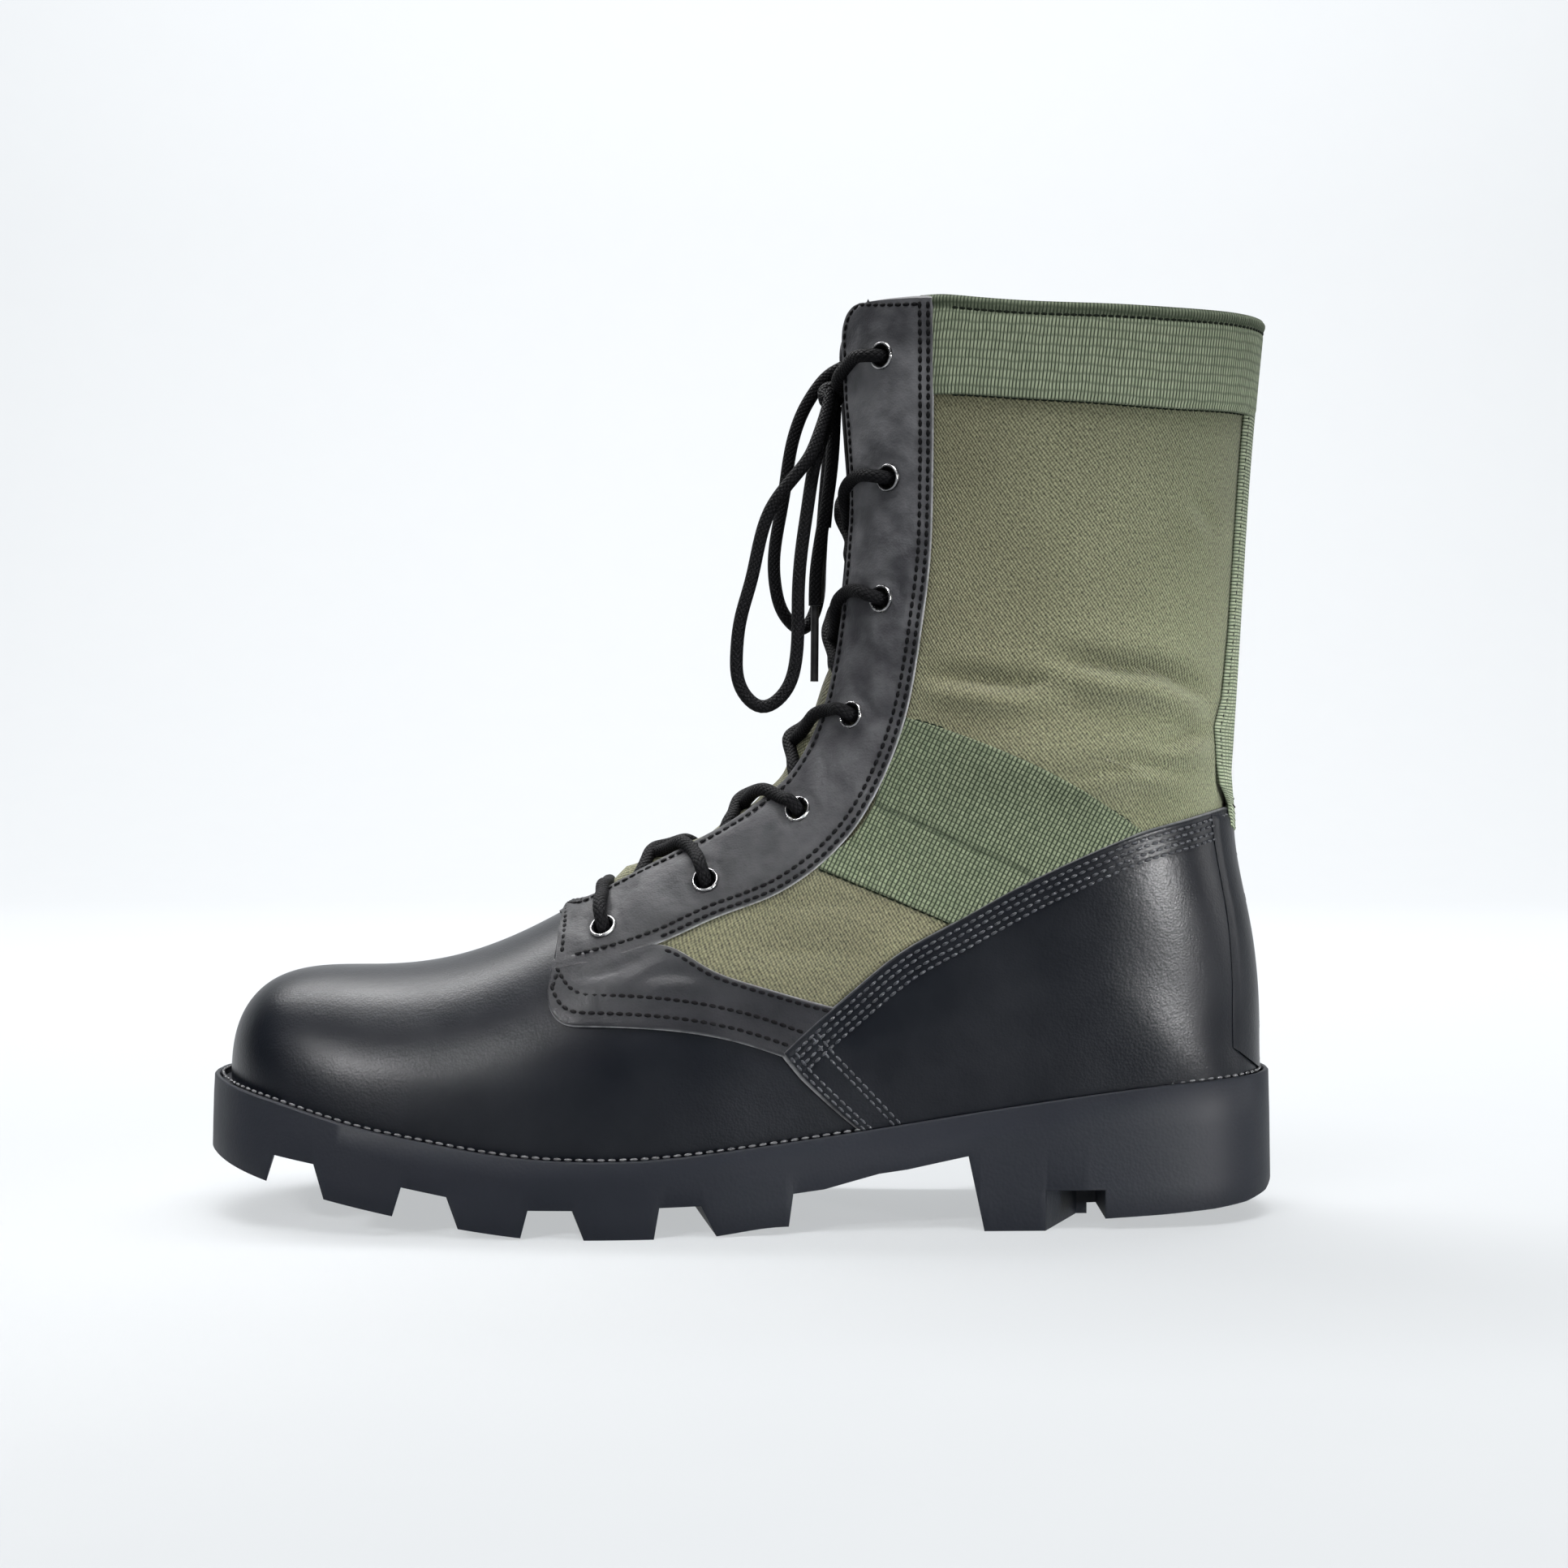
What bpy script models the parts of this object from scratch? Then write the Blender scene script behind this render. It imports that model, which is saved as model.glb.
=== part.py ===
"""Left lace-up combat boot: lugged rubber sole, hollow leather and canvas upper, tongue and laces.

Metres, +Z up. The toe points to -X, the heel to +X, the outer side of the foot to -Y, and the boot
stands on Z = 0. Every table below is in millimetres.
"""

import math

import bmesh
import bpy
import numpy as np
from mathutils import Matrix, Vector

MM = 0.001

# Main sizes of the boot
LENGTH = 301.2
BALL_WIDTH = 95.0
HEEL_HEIGHT = 39.5
INSTEP_HEIGHT = 85.6
COLLAR_HEIGHT = 254.0
WALL = 2.2
GAP = 0.3

# One row for each section of the outer form, from the toe tip round the heel to the collar. A section
# runs down a straight line from its top (vamp ridge, then shin) to its bottom (which lies below the
# sole's seat along the foot, then on the back of the heel and shaft). Half widths are shares of half
# the ball width. widest is where along the line the section is widest; the two powers round it off.
SECTION_COLUMNS = (
    "top_x", "top_z", "bottom_x", "bottom_z", "half_width",
    "ridge_y", "base_y", "widest", "top_power", "bottom_power",
)
SECTIONS = (
    ("toe tip", -145.9, 37.3, -145.9, 37.3, 0.0, 6.5, 6.5, 0.50, 2.3, 2.0),
    ("toe cap front", -143.8, 53.5, -143.8, 21.0, 0.29, 6.3, 6.3, 0.50, 2.3, 2.0),
    ("toe cap", -136.0, 63.6, -136.0, 8.0, 0.57, 5.5, 5.0, 0.50, 2.3, 2.0),
    ("toe box", -122.0, 68.2, -122.0, -5.0, 0.78, 4.5, 3.5, 0.50, 2.3, 2.0),
    ("toe break", -102.0, 68.8, -102.0, -14.0, 0.905, 3.5, 2.0, 0.47, 2.2, 2.0),
    ("ball front", -80.0, 72.0, -80.0, -20.0, 0.965, 3.0, 0.5, 0.47, 2.15, 2.0),
    ("ball", -58.0, 80.7, -57.0, -22.0, 0.995, 2.5, -0.5, 0.51, 2.1, 2.0),
    ("throat", -38.0, 92.0, -31.0, -22.0, 0.965, 2.0, -3.0, 0.55, 2.05, 2.0),
    ("instep", -20.0, 102.8, 2.0, -20.0, 0.845, 1.5, -6.0, 0.56, 2.05, 2.0),
    ("waist", -6.0, 112.0, 42.0, -16.0, 0.735, 1.0, -6.0, 0.54, 2.05, 2.0),
    ("heel breast", 4.0, 119.3, 90.0, -10.0, 0.725, 0.7, -3.5, 0.48, 2.05, 2.0),
    ("heel side", 10.5, 125.3, 128.0, -4.0, 0.735, 0.5, -1.5, 0.46, 2.05, 2.1),
    ("heel turn", 14.0, 130.0, 142.2, 11.0, 0.74, 0.3, -0.7, 0.46, 2.05, 2.2),
    ("heel corner", 17.0, 135.0, 145.6, 26.0, 0.745, 0.2, -0.3, 0.46, 2.05, 2.3),
    ("heel back", 19.5, 140.0, 146.0, 38.8, 0.75, 0.0, 0.0, 0.46, 2.05, 2.3),
    ("counter", 22.5, 148.0, 146.3, 55.0, 0.76, 0.0, 0.0, 0.46, 2.05, 2.25),
    ("counter top", 25.0, 157.5, 144.6, 78.0, 0.77, 0.0, 0.0, 0.47, 2.1, 2.2),
    ("ankle", 27.3, 169.5, 140.6, 103.0, 0.785, 0.0, 0.0, 0.48, 2.15, 2.15),
    ("shaft low", 29.0, 184.0, 138.9, 129.0, 0.805, 0.0, 0.0, 0.49, 2.2, 2.1),
    ("shaft", 30.2, 203.0, 140.6, 166.0, 0.83, 0.0, 0.0, 0.50, 2.2, 2.1),
    ("shaft high", 28.8, 226.0, 143.2, 208.0, 0.85, 0.0, 0.0, 0.50, 2.2, 2.1),
    ("collar", 27.6, COLLAR_HEIGHT, 147.8, 251.6, 0.865, 0.0, 0.0, 0.50, 2.2, 2.1),
)

# Height of the sole's rim along the boot, and the ledge it leaves round the upper
RIM_COLUMNS = ("x", "z", "ledge")
RIM = (
    (-150.6, 38.9, 4.7), (-127.6, 35.2, 4.4), (-102.9, 29.0, 4.0), (-83.0, 25.2, 3.8),
    (-64.0, 22.1, 3.7), (-45.0, 20.6, 3.7), (-27.0, 20.6, 3.7), (-2.0, 22.7, 3.7),
    (42.0, 28.4, 3.7), (83.0, 34.6, 3.6), (126.0, 39.4, 4.0), (151.0, 40.4, 4.4),
)
LIP_WIDTH = 1.6
SEAT_DROP = 2.0
SEAT_CLEARANCE = 0.5

# Tread: toe spring, the flat under the ball and the rise behind it
TREAD_FLAT_FRONT = -50.0
TREAD_FLAT_BACK = -12.0
TOE_SPRING = 18.6
TOE_SPRING_POWER = 1.35
BALL_RISE = 2.3
BALL_RISE_LENGTH = 24.4
TREAD_FLARE = 0.6

# Grooves across the forefoot, on the outer edge: front and back of the ceiling, then of the mouth
GROOVE_COLUMNS = ("ceiling_front", "front_z", "ceiling_back", "back_z", "mouth_front", "mouth_back")
GROOVES = (
    (-123.8, 20.4, -112.8, 18.7, -130.2, -106.0),
    (-89.3, 13.4, -77.3, 11.1, -94.6, -71.8),
    (-55.8, 7.8, -43.9, 7.8, -58.9, -39.5),
    (-20.8, 8.3, -9.5, 8.5, -23.0, -3.1),
)
GROOVE_EDGE_Y = -48.0
GROOVE_SLANT = -0.17

# Waist under the arch, on the outer edge; its front follows the grooves and its back the heel breast
WAIST_PROFILE = ((12.2, -4.0), (14.4, 11.0), (38.0, 15.8), (62.0, 20.2), (66.3, 0.0), (67.2, -4.0))
WAIST_SLANTS = (GROOVE_SLANT, GROOVE_SLANT, 0.0, 0.09, 0.09, 0.09)
WAIST_EDGE_Y = -40.0

# Heel: a wedge notch from each side, and the rear block lifted clear of the ground
HEEL_NOTCH_PLAN = ((76.3, 52.0), (83.6, 36.0), (94.5, 12.0), (100.0, 12.0), (99.0, 52.0))
HEEL_NOTCH_HEIGHT = 10.8
HEEL_LIFT_PROFILE = (
    (97.5, -4.0), (97.5, 3.0), (115.0, 3.8), (130.0, 4.7), (140.0, 5.7), (147.0, 7.4), (153.0, 12.0), (160.0, -4.0),
)

# Shares of the way from the throat's end to the back of the heel at which the upper is drawn
THROAT_TO_HEEL_STEPS = (0.012, 0.035, 0.07, 0.13, 0.21, 0.31, 0.43, 0.55, 0.66, 0.76, 0.84, 0.90, 0.945, 0.977, 1.0)

# Throat: where it starts on the vamp ridge, its half gap, and the round corners at its two ends
THROAT_START_X = -48.8
THROAT_HALF_GAP = 12.0
THROAT_HALF_GAP_TOP = 12.5
THROAT_ROUND = 9.0
COLLAR_CORNER = 9.0
COLLAR_DIP = 3.0

# Tongue
TONGUE_THICKNESS = 2.0
TONGUE_TUCK = 9.0
TONGUE_HALF_WIDTH = 26.0
TONGUE_SHARES = (0.55, 0.85, 1.0, 0.93, 0.80, 0.58)
TONGUE_RISE_AT = (0.0, 7.0, 24.0, 60.0, 110.0, 150.0, 210.0)
TONGUE_RISE = (0.0, 0.0, 4.2, 2.4, 2.2, 4.2, 1.2)
TONGUE_CLEARANCE = 1.1

INSOLE_THICKNESS = 2.6
INSOLE_MARGIN = 2.4

# Overlay skins lie on the upper; edges are side-view points (x, z) of the outer side, from the toe or the top on.
SKIN = 1.4
SEAM_GAP = 0.5
RIDGE_Y = 2.1
EYESTAY_REAR = (
    (53.2, 262.0), (53.3, 226.3), (53.2, 201.2), (52.3, 179.3), (50.1, 161.8), (46.5, 140.9),
    (39.9, 122.0), (31.1, 107.1), (21.7, 97.6), (8.8, 89.4), (-6.2, 83.7), (-18.5, 76.6),
)
QUARTER_TOP = ((-18.5, 76.6), (-8.7, 70.8), (4.5, 66.0), (19.9, 61.7), (25.8, 60.3))
QUARTER_FRONT = ((-48.2, 88.0), (-49.0, 83.3), (-50.5, 73.1), (-51.4, 65.9), (-50.0, 59.8), (-45.6, 55.5))
QUARTER_BOTTOM = ((-45.6, 55.5), (-26.5, 54.9), (-13.9, 53.7), (-1.1, 51.2), (11.4, 47.4))
BEYOND_THROAT = ((15.0, 262.0), (10.0, 150.0), (-10.0, 110.0), (-44.0, 96.0))
COUNTER_TOP = (
    (12.2, 47.8), (19.8, 55.2), (30.8, 64.5), (44.0, 75.0), (57.6, 82.7), (71.0, 90.4), (84.3, 97.3),
    (94.4, 101.9), (108.0, 107.3), (122.7, 111.2), (134.2, 114.1), (160.0, 116.0),
)
COUNTER_FRONT = ((12.2, 47.8), (19.8, 41.2), (28.6, 33.5), (33.6, 28.6))
COUNTER_FOOT_X = (36.0, 55.0, 75.0, 95.0, 115.0, 135.0, 160.0)
COUNTER_FOOT_CLEARANCE = 0.6
WEB_TOP = ((46.9, 138.6), (63.7, 133.0), (85.5, 123.1), (108.4, 108.9))
WEB_FOOT = ((23.1, 96.9), (37.6, 91.1), (57.0, 83.2))
WEB_FRONT = ((46.4, 138.5), (40.5, 121.7), (31.6, 106.7), (22.4, 97.3))
CUFF_FOOT = ((53.9, 226.3), (74.2, 224.5), (96.0, 223.2), (118.7, 222.4), (141.8, 224.4), (160.0, 224.4))
BACKSTAY_HALF_WIDTH = 16.0
BACKSTAY_FOOT = 116.6
BACKSTAY_TOP = 222.6

# Eyelets: side-view centres from the top down, and the turned profile (radius, height over the eyestay).
EYELETS = (
    (40.2, 238.2), (42.0, 204.8), (40.1, 171.6), (31.9, 139.6), (16.7, 113.0), (-9.1, 93.2), (-36.9, 80.4),
)
EYELET_PROFILE = ((2.4, 1.1), (3.8, 0.8), (3.8, 0.5), (2.9, 0.5), (2.9, -3.6), (2.4, -3.6))
EYELET_HOLE = 3.3
EYELET_SIDES = 10

# Lace: a round cord; the strands' places are shares of the way from one eyelet pair up to the next.
LACE_RADIUS = 1.85
LACE_CLEARANCE = 0.35
LACE_OVER_TONGUE = 0.8
LACE_STOP = 5.2
STRAND_COLUMNS = ("share", "side", "gap")
STRAND = ((0.12, -1, 7.6), (0.26, -1, 4.2), (0.42, 1, 0.0), (0.62, 1, 6.5), (0.80, 1, 12.6), (0.93, 1, 17.0))
TIP_RADIUS = 1.15
KNOT_RADIUS = 3.3
KNOT = ((24.3, -4.6, 229.5), (23.9, 0.0, 229.9), (24.3, 4.6, 229.5))
LOOP_NEAR = (
    (20.6, -6.9, 229.2), (20.0, -10.2, 221.0), (18.6, -13.2, 211.0), (13.4, -14.0, 204.4), (7.0, -14.0, 196.0),
    (4.2, -14.0, 184.0), (0.8, -14.0, 171.7), (-0.3, -14.0, 161.0), (0.0, -14.0, 153.0), (2.0, -14.0, 145.6),
    (5.8, -14.0, 142.2), (10.8, -13.5, 145.0), (14.6, -13.0, 154.0), (15.6, -12.6, 163.0), (16.4, -12.0, 173.0),
    (18.3, -11.0, 188.0), (21.0, -9.0, 202.0), (23.0, -7.9, 213.0), (24.9, -7.0, 226.0),
)
LOOP_FAR = (
    (19.6, 4.2, 232.8), (15.2, 6.0, 222.3), (12.9, 7.0, 211.0), (11.5, 8.0, 195.8), (10.2, 8.5, 182.4),
    (11.2, 9.0, 174.2), (14.0, 10.0, 168.4), (17.6, 12.0, 166.4), (20.4, 13.6, 171.0), (21.4, 13.8, 182.0),
    (22.0, 13.4, 195.0), (23.2, 11.2, 210.0), (24.9, 7.0, 226.0),
)
END_NEAR = ((23.9, -2.0, 225.9), (23.2, -2.8, 214.0), (21.8, -3.6, 199.0), (20.4, -4.4, 184.0), (19.0, -5.2, 171.0))
TIP_NEAR = ((18.95, -5.2, 170.6), (18.2, -5.6, 160.0), (17.2, -6.0, 149.4))
END_FAR = ((24.2, 2.6, 225.9), (23.4, 4.2, 214.0), (22.2, 5.6, 204.0), (21.2, 6.6, 194.0))
TIP_FAR = ((21.15, 6.65, 193.6), (20.4, 7.2, 183.0), (19.6, 7.6, 172.4))


def spline_curvatures(knots, values):
    """Second derivatives of the natural cubic spline through values at knots."""
    count = len(knots)
    steps = np.diff(knots)
    matrix = np.eye(count)
    right = np.zeros_like(values)
    for i in range(1, count - 1):
        matrix[i, i - 1] = steps[i - 1]
        matrix[i, i] = 2.0 * (steps[i - 1] + steps[i])
        matrix[i, i + 1] = steps[i]
        slope_change = (values[i + 1] - values[i]) / steps[i] - (values[i] - values[i - 1]) / steps[i - 1]
        right[i] = 6.0 * slope_change
    return np.linalg.solve(matrix, right)


class Spline:
    """Smooth curve through rows of values at rising knots."""

    def __init__(self, knots, values):
        self.knots = np.asarray(knots, float)
        self.values = np.asarray(values, float)
        self.curvatures = spline_curvatures(self.knots, self.values)

    def __call__(self, at):
        at = np.clip(np.asarray(at, float), self.knots[0], self.knots[-1])
        i = np.clip(np.searchsorted(self.knots, at) - 1, 0, len(self.knots) - 2)
        step = self.knots[i + 1] - self.knots[i]
        a = (self.knots[i + 1] - at) / step
        b = 1.0 - a
        shape = at.shape + (1,) * (self.values.ndim - 1)
        a, b, step = a.reshape(shape), b.reshape(shape), step.reshape(shape)
        line = a * self.values[i] + b * self.values[i + 1]
        bend = (a**3 - a) * self.curvatures[i] + (b**3 - b) * self.curvatures[i + 1]
        return line + bend * step**2 / 6.0


RIM_SPLINE = Spline([row[0] for row in RIM], [row[1:] for row in RIM])


def rim_z(x):
    """Height of the sole's rim at x."""
    return RIM_SPLINE(x)[..., 0]


def ledge(x):
    """Width of the ledge that the sole leaves round the upper at x."""
    return RIM_SPLINE(x)[..., 1]


def seat_z(x):
    """Height of the seat on which the upper and insole stand."""
    return rim_z(x) - SEAT_DROP


def feather_z(x):
    """Height of the upper's lower edge."""
    return seat_z(x) + SEAT_CLEARANCE


def tread_z(x):
    """Height of the underside of the lugs and heel."""
    x = np.asarray(x, float)
    front = np.clip((TREAD_FLAT_FRONT - x) / (TREAD_FLAT_FRONT + LENGTH / 2), 0.0, None)
    back = np.clip((x - TREAD_FLAT_BACK) / BALL_RISE_LENGTH, 0.0, 1.6)
    rise = np.where(x < 40.0, BALL_RISE * back**1.6, 0.0)
    return TOE_SPRING * front**TOE_SPRING_POWER + rise


def bisect(low, high, above):
    """Find where above(at) turns from true to false between low and high."""
    for _ in range(50):
        middle = 0.5 * (low + high)
        true_here = above(middle)
        low = np.where(true_here, middle, low)
        high = np.where(true_here, high, middle)
    return 0.5 * (low + high)


class BootForm:
    """The boot's outer form: the sections swept from the toe, round the heel, to the collar."""

    EVEN = (1, 0, 1, 0, 0, 1, 1, 1, 1, 1)

    def __init__(self):
        rows = np.array([row[1:] for row in SECTIONS], float)
        rows[:, 4] *= BALL_WIDTH / 2
        tops, bottoms = rows[:, 0:2], rows[:, 2:4]
        moves = np.linalg.norm(np.diff(tops, axis=0), axis=1) + np.linalg.norm(np.diff(bottoms, axis=0), axis=1)
        knots = np.concatenate(([0.0], np.cumsum(moves)))
        self.length = knots[-1]
        knots /= self.length
        even = np.array(self.EVEN, bool)
        mirrored = np.where(even, rows[1], 2.0 * rows[0] - rows[1])
        self.spline = Spline(np.concatenate(([-knots[1]], knots)), np.vstack((mirrored, rows)))
        self.knots = {row[0]: knot for row, knot in zip(SECTIONS, knots)}
        self.throat = float(bisect(0.0, self.knots["instep"], lambda s: self.columns(s)["top_x"] < THROAT_START_X))
        self.heel = float(bisect(self.knots["heel turn"], self.knots["counter"], self.is_below_seat))

    def columns(self, s):
        values = self.spline(s)
        return {name: values[..., i] for i, name in enumerate(SECTION_COLUMNS)}

    def is_below_seat(self, s):
        row = self.columns(s)
        return row["bottom_z"] < feather_z(row["bottom_x"])

    @staticmethod
    def angle_at(row, share):
        """Angle round a section at a share of the way down its line."""
        upper = np.clip((row["widest"] - share) / row["widest"], 0.0, 1.0)
        lower = np.clip((share - row["widest"]) / (1.0 - row["widest"]), 0.0, 1.0)
        above = np.arccos(upper ** (row["top_power"] / 2))
        below = np.arccos(-(lower ** (row["bottom_power"] / 2)))
        return np.where(share <= row["widest"], above, below)

    def seat_angle(self, s):
        """Angle at which a section meets the upper's lower edge, or pi past the heel."""
        row = self.columns(s)

        def is_above(share):
            x = row["top_x"] + share * (row["bottom_x"] - row["top_x"])
            z = row["top_z"] + share * (row["bottom_z"] - row["top_z"])
            return z > feather_z(x)

        share = bisect(np.zeros_like(s), np.ones_like(s), is_above)
        angle = np.where(np.asarray(s) >= self.heel - 1e-9, math.pi, self.angle_at(row, share))
        return np.where(np.asarray(s) < 1e-9, math.pi / 2, angle)

    def half_gap(self, s):
        """Half the throat's gap at s."""
        row = self.columns(s)
        along = np.clip((s - self.throat) * self.length * 0.5, 0.0, None)
        rounding = np.sqrt(1.0 - np.clip(1.0 - along / THROAT_ROUND, 0.0, 1.0) ** 2)
        up = np.clip((s - self.throat) / (1.0 - self.throat), 0.0, 1.0)
        gap = (THROAT_HALF_GAP + (THROAT_HALF_GAP_TOP - THROAT_HALF_GAP) * up) * rounding
        below_top = np.clip(COLLAR_HEIGHT - row["top_z"], 0.0, COLLAR_CORNER)
        corner = COLLAR_CORNER - np.sqrt(COLLAR_CORNER**2 - (COLLAR_CORNER - below_top) ** 2)
        return gap + corner

    def gap_angle(self, s, gap):
        """Angle at which a section is gap wide on each side of its ridge."""
        row = self.columns(s)
        share = np.clip(gap / np.maximum(row["half_width"], 1e-6), 0.0, 1.0)
        return np.arcsin(share ** (row["top_power"] / 2))

    def throat_angle(self, s):
        return np.where(s <= self.throat, 0.0, self.gap_angle(s, self.half_gap(s)))

    def on_form(self, s, angle, side):
        """Points of the form; side is -1 for the outer side of the foot and +1 for the inner."""
        folded = (angle < 0.0) | (angle > math.pi)
        angle = np.where(angle < 0.0, -angle, angle)
        angle = np.where(angle > math.pi, 2.0 * math.pi - angle, angle)
        side = np.where(folded, -side, side)
        row = self.columns(s)
        upper = angle <= math.pi / 2
        power = np.where(upper, row["top_power"], row["bottom_power"])
        reach = np.abs(np.cos(angle)) ** (2.0 / power)
        bulge = np.abs(np.sin(angle)) ** (2.0 / power)
        share = np.where(upper, row["widest"] * (1.0 - reach), row["widest"] + (1.0 - row["widest"]) * reach)
        x = row["top_x"] + share * (row["bottom_x"] - row["top_x"])
        z = row["top_z"] + share * (row["bottom_z"] - row["top_z"])
        middle = row["base_y"] + (row["ridge_y"] - row["base_y"]) * (1.0 - share)
        return np.stack((x, middle + side * row["half_width"] * bulge, z), axis=-1)

    def normal(self, s, angle, side):
        """Outward normals of the form."""
        low, high = np.clip(s - 1e-4, 0.0, 1.0), np.clip(s + 1e-4, 0.0, 1.0)
        along = self.on_form(high, angle, side) - self.on_form(low, angle, side)
        around = self.on_form(s, angle + 1e-3, side) - self.on_form(s, angle - 1e-3, side)
        normal = np.cross(along, around)
        size = np.linalg.norm(normal, axis=-1, keepdims=True)
        normal = np.where(size > 1e-12, normal / np.maximum(size, 1e-12), 0.0)
        row = self.columns(s)
        centre_x = 0.5 * (row["top_x"] + row["bottom_x"])
        centre_z = 0.5 * (row["top_z"] + row["bottom_z"])
        centre = np.stack((centre_x, row["base_y"], centre_z), axis=-1)
        outward = np.sum(normal * (self.on_form(s, angle, side) - centre), axis=-1, keepdims=True)
        normal = np.where(outward < 0.0, -normal, normal)
        tip = (np.asarray(s) < 1e-6)[..., None]
        return np.where(tip, np.array((-1.0, 0.0, 0.0)), normal)

    def point(self, s, angle, side, offset=0.0):
        """Points a given offset outside the form."""
        s, angle, side, offset = np.broadcast_arrays(s, angle, side, offset)
        return self.on_form(s, angle, side) + offset[..., None] * self.normal(s, angle, side)

    def locate(self, x, z):
        """Section and angle at which the form shows the side-view point (x, z)."""
        x, z = np.broadcast_arrays(np.asarray(x, float), np.asarray(z, float))

        def is_past(s):
            row = self.columns(s)
            run, fall = row["bottom_x"] - row["top_x"], row["bottom_z"] - row["top_z"]
            return run * (z - row["top_z"]) - fall * (x - row["top_x"]) > 0.0

        s = bisect(np.full(x.shape, 1e-4), np.ones(x.shape), is_past)
        row = self.columns(s)
        run, fall = row["bottom_x"] - row["top_x"], row["bottom_z"] - row["top_z"]
        share = ((x - row["top_x"]) * run + (z - row["top_z"]) * fall) / (run**2 + fall**2)
        return s, self.angle_at(row, np.clip(share, 0.0, 1.0))

    def feather_line(self, side, count=400):
        """Plan points (x, y) of the upper's lower edge from the toe tip to the back of the heel."""
        s = self.heel * np.sin(np.linspace(0.0, math.pi / 2, count)) ** 1.5
        return self.on_form(s, self.seat_angle(s), np.full(count, side))[:, :2]


BOOT = BootForm()


def spaced(line, count):
    """Points at equal steps along a plan line."""
    steps = np.linalg.norm(np.diff(line, axis=0), axis=1)
    run = np.concatenate(([0.0], np.cumsum(steps)))
    at = np.linspace(0.0, run[-1], count)
    return np.stack([np.interp(at, run, line[:, i]) for i in range(2)], axis=1)


class PlanOutline:
    """Closed plan outline made from the upper's lower edge, moved out by a margin."""

    def __init__(self, count):
        outer = spaced(BOOT.feather_line(-1.0), count)
        inner = spaced(BOOT.feather_line(1.0), count)
        self.loop = np.vstack((outer, inner[-2:0:-1]))
        self.count = count
        before, after = np.roll(self.loop, 1, axis=0), np.roll(self.loop, -1, axis=0)
        run = after - before
        out = np.stack((-run[:, 1], run[:, 0]), axis=1)
        out /= np.linalg.norm(out, axis=1, keepdims=True)
        centre = self.loop.mean(axis=0)
        flip = np.sign(np.sum(out * (self.loop - centre), axis=1)).sum() < 0
        self.out = -out if flip else out

    def ring(self, margin, height):
        """Ring of points moved out by margin, at the height found for each x."""
        plan = self.loop + self.out * np.asarray(margin).reshape(-1, 1)
        return np.column_stack((plan, height(plan[:, 0])))


def new_collection(name):
    made = bpy.data.collections.new(name)
    bpy.context.scene.collection.children.link(made)
    return made


def clear_scene():
    for thing in list(bpy.data.objects):
        bpy.data.objects.remove(thing, do_unlink=True)
    for group in list(bpy.data.collections):
        bpy.data.collections.remove(group)


def material(name, colour, roughness, metallic=0.0):
    """Principled material in one plain colour."""
    made = bpy.data.materials.get(name)
    if made:
        return made
    made = bpy.data.materials.new(name)
    made.use_nodes = True
    shader = made.node_tree.nodes["Principled BSDF"]
    shader.inputs["Base Color"].default_value = (*colour, 1.0)
    shader.inputs["Roughness"].default_value = roughness
    shader.inputs["Metallic"].default_value = metallic
    return made


def leather():
    return material("black leather", (0.02, 0.02, 0.022), 0.42)


def canvas():
    return material("olive canvas", (0.16, 0.165, 0.085), 0.9)


def webbing():
    return material("green webbing", (0.09, 0.14, 0.075), 0.9)


def rubber():
    return material("black rubber", (0.022, 0.022, 0.024), 0.6)


def eyelet_metal():
    return material("black enamelled metal", (0.03, 0.03, 0.03), 0.35, 1.0)


def lace_cord():
    return material("black lace", (0.012, 0.012, 0.013), 0.8)


def finish_mesh(bm, name, group, look):
    """Turn a bmesh in millimetres into a named object with its material."""
    bmesh.ops.remove_doubles(bm, verts=bm.verts, dist=0.002)
    bmesh.ops.scale(bm, vec=Vector((MM, MM, MM)), verts=bm.verts)
    mesh = bpy.data.meshes.new(name)
    bm.to_mesh(mesh)
    bm.free()
    thing = bpy.data.objects.new(name, mesh)
    group.objects.link(thing)
    if look is not None:
        mesh.materials.append(look)
    return thing


def loft(name, group, look, rings, count):
    """Solid through closed rings of plan outlines, its two ends filled rung by rung."""
    bm = bmesh.new()
    loops = [[bm.verts.new(point) for point in ring] for ring in rings]
    size = len(loops[0])
    for low, high in zip(loops, loops[1:]):
        for i in range(size):
            j = (i + 1) % size
            bm.faces.new((low[i], low[j], high[j], high[i]))
    for loop in (loops[0], loops[-1]):
        far = [loop[0]] + loop[:count - 1:-1] + [loop[count - 1]]
        for i in range(count - 1):
            corners = [loop[i], loop[i + 1], far[i + 1], far[i]]
            corners = [c for k, c in enumerate(corners) if c not in corners[:k]]
            bm.faces.new(corners)
    bmesh.ops.recalc_face_normals(bm, faces=bm.faces)
    return finish_mesh(bm, name, group, look)


def extruded(name, group, outline, move):
    """Cutter: a flat outline run along move, each corner leaning by its own move."""
    bm = bmesh.new()
    base = bm.faces.new([bm.verts.new(corner) for corner in outline])
    run = bmesh.ops.extrude_face_region(bm, geom=[base])
    moved = [v for v in run["geom"] if isinstance(v, bmesh.types.BMVert)]
    for corner in moved:
        nearest = min(range(len(outline)), key=lambda i: (Vector(outline[i]) - corner.co).length)
        corner.co += Vector(move[nearest])
    bmesh.ops.recalc_face_normals(bm, faces=bm.faces)
    thing = finish_mesh(bm, name, group, None)
    thing.hide_render = True
    thing.display_type = "WIRE"
    return thing


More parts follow.
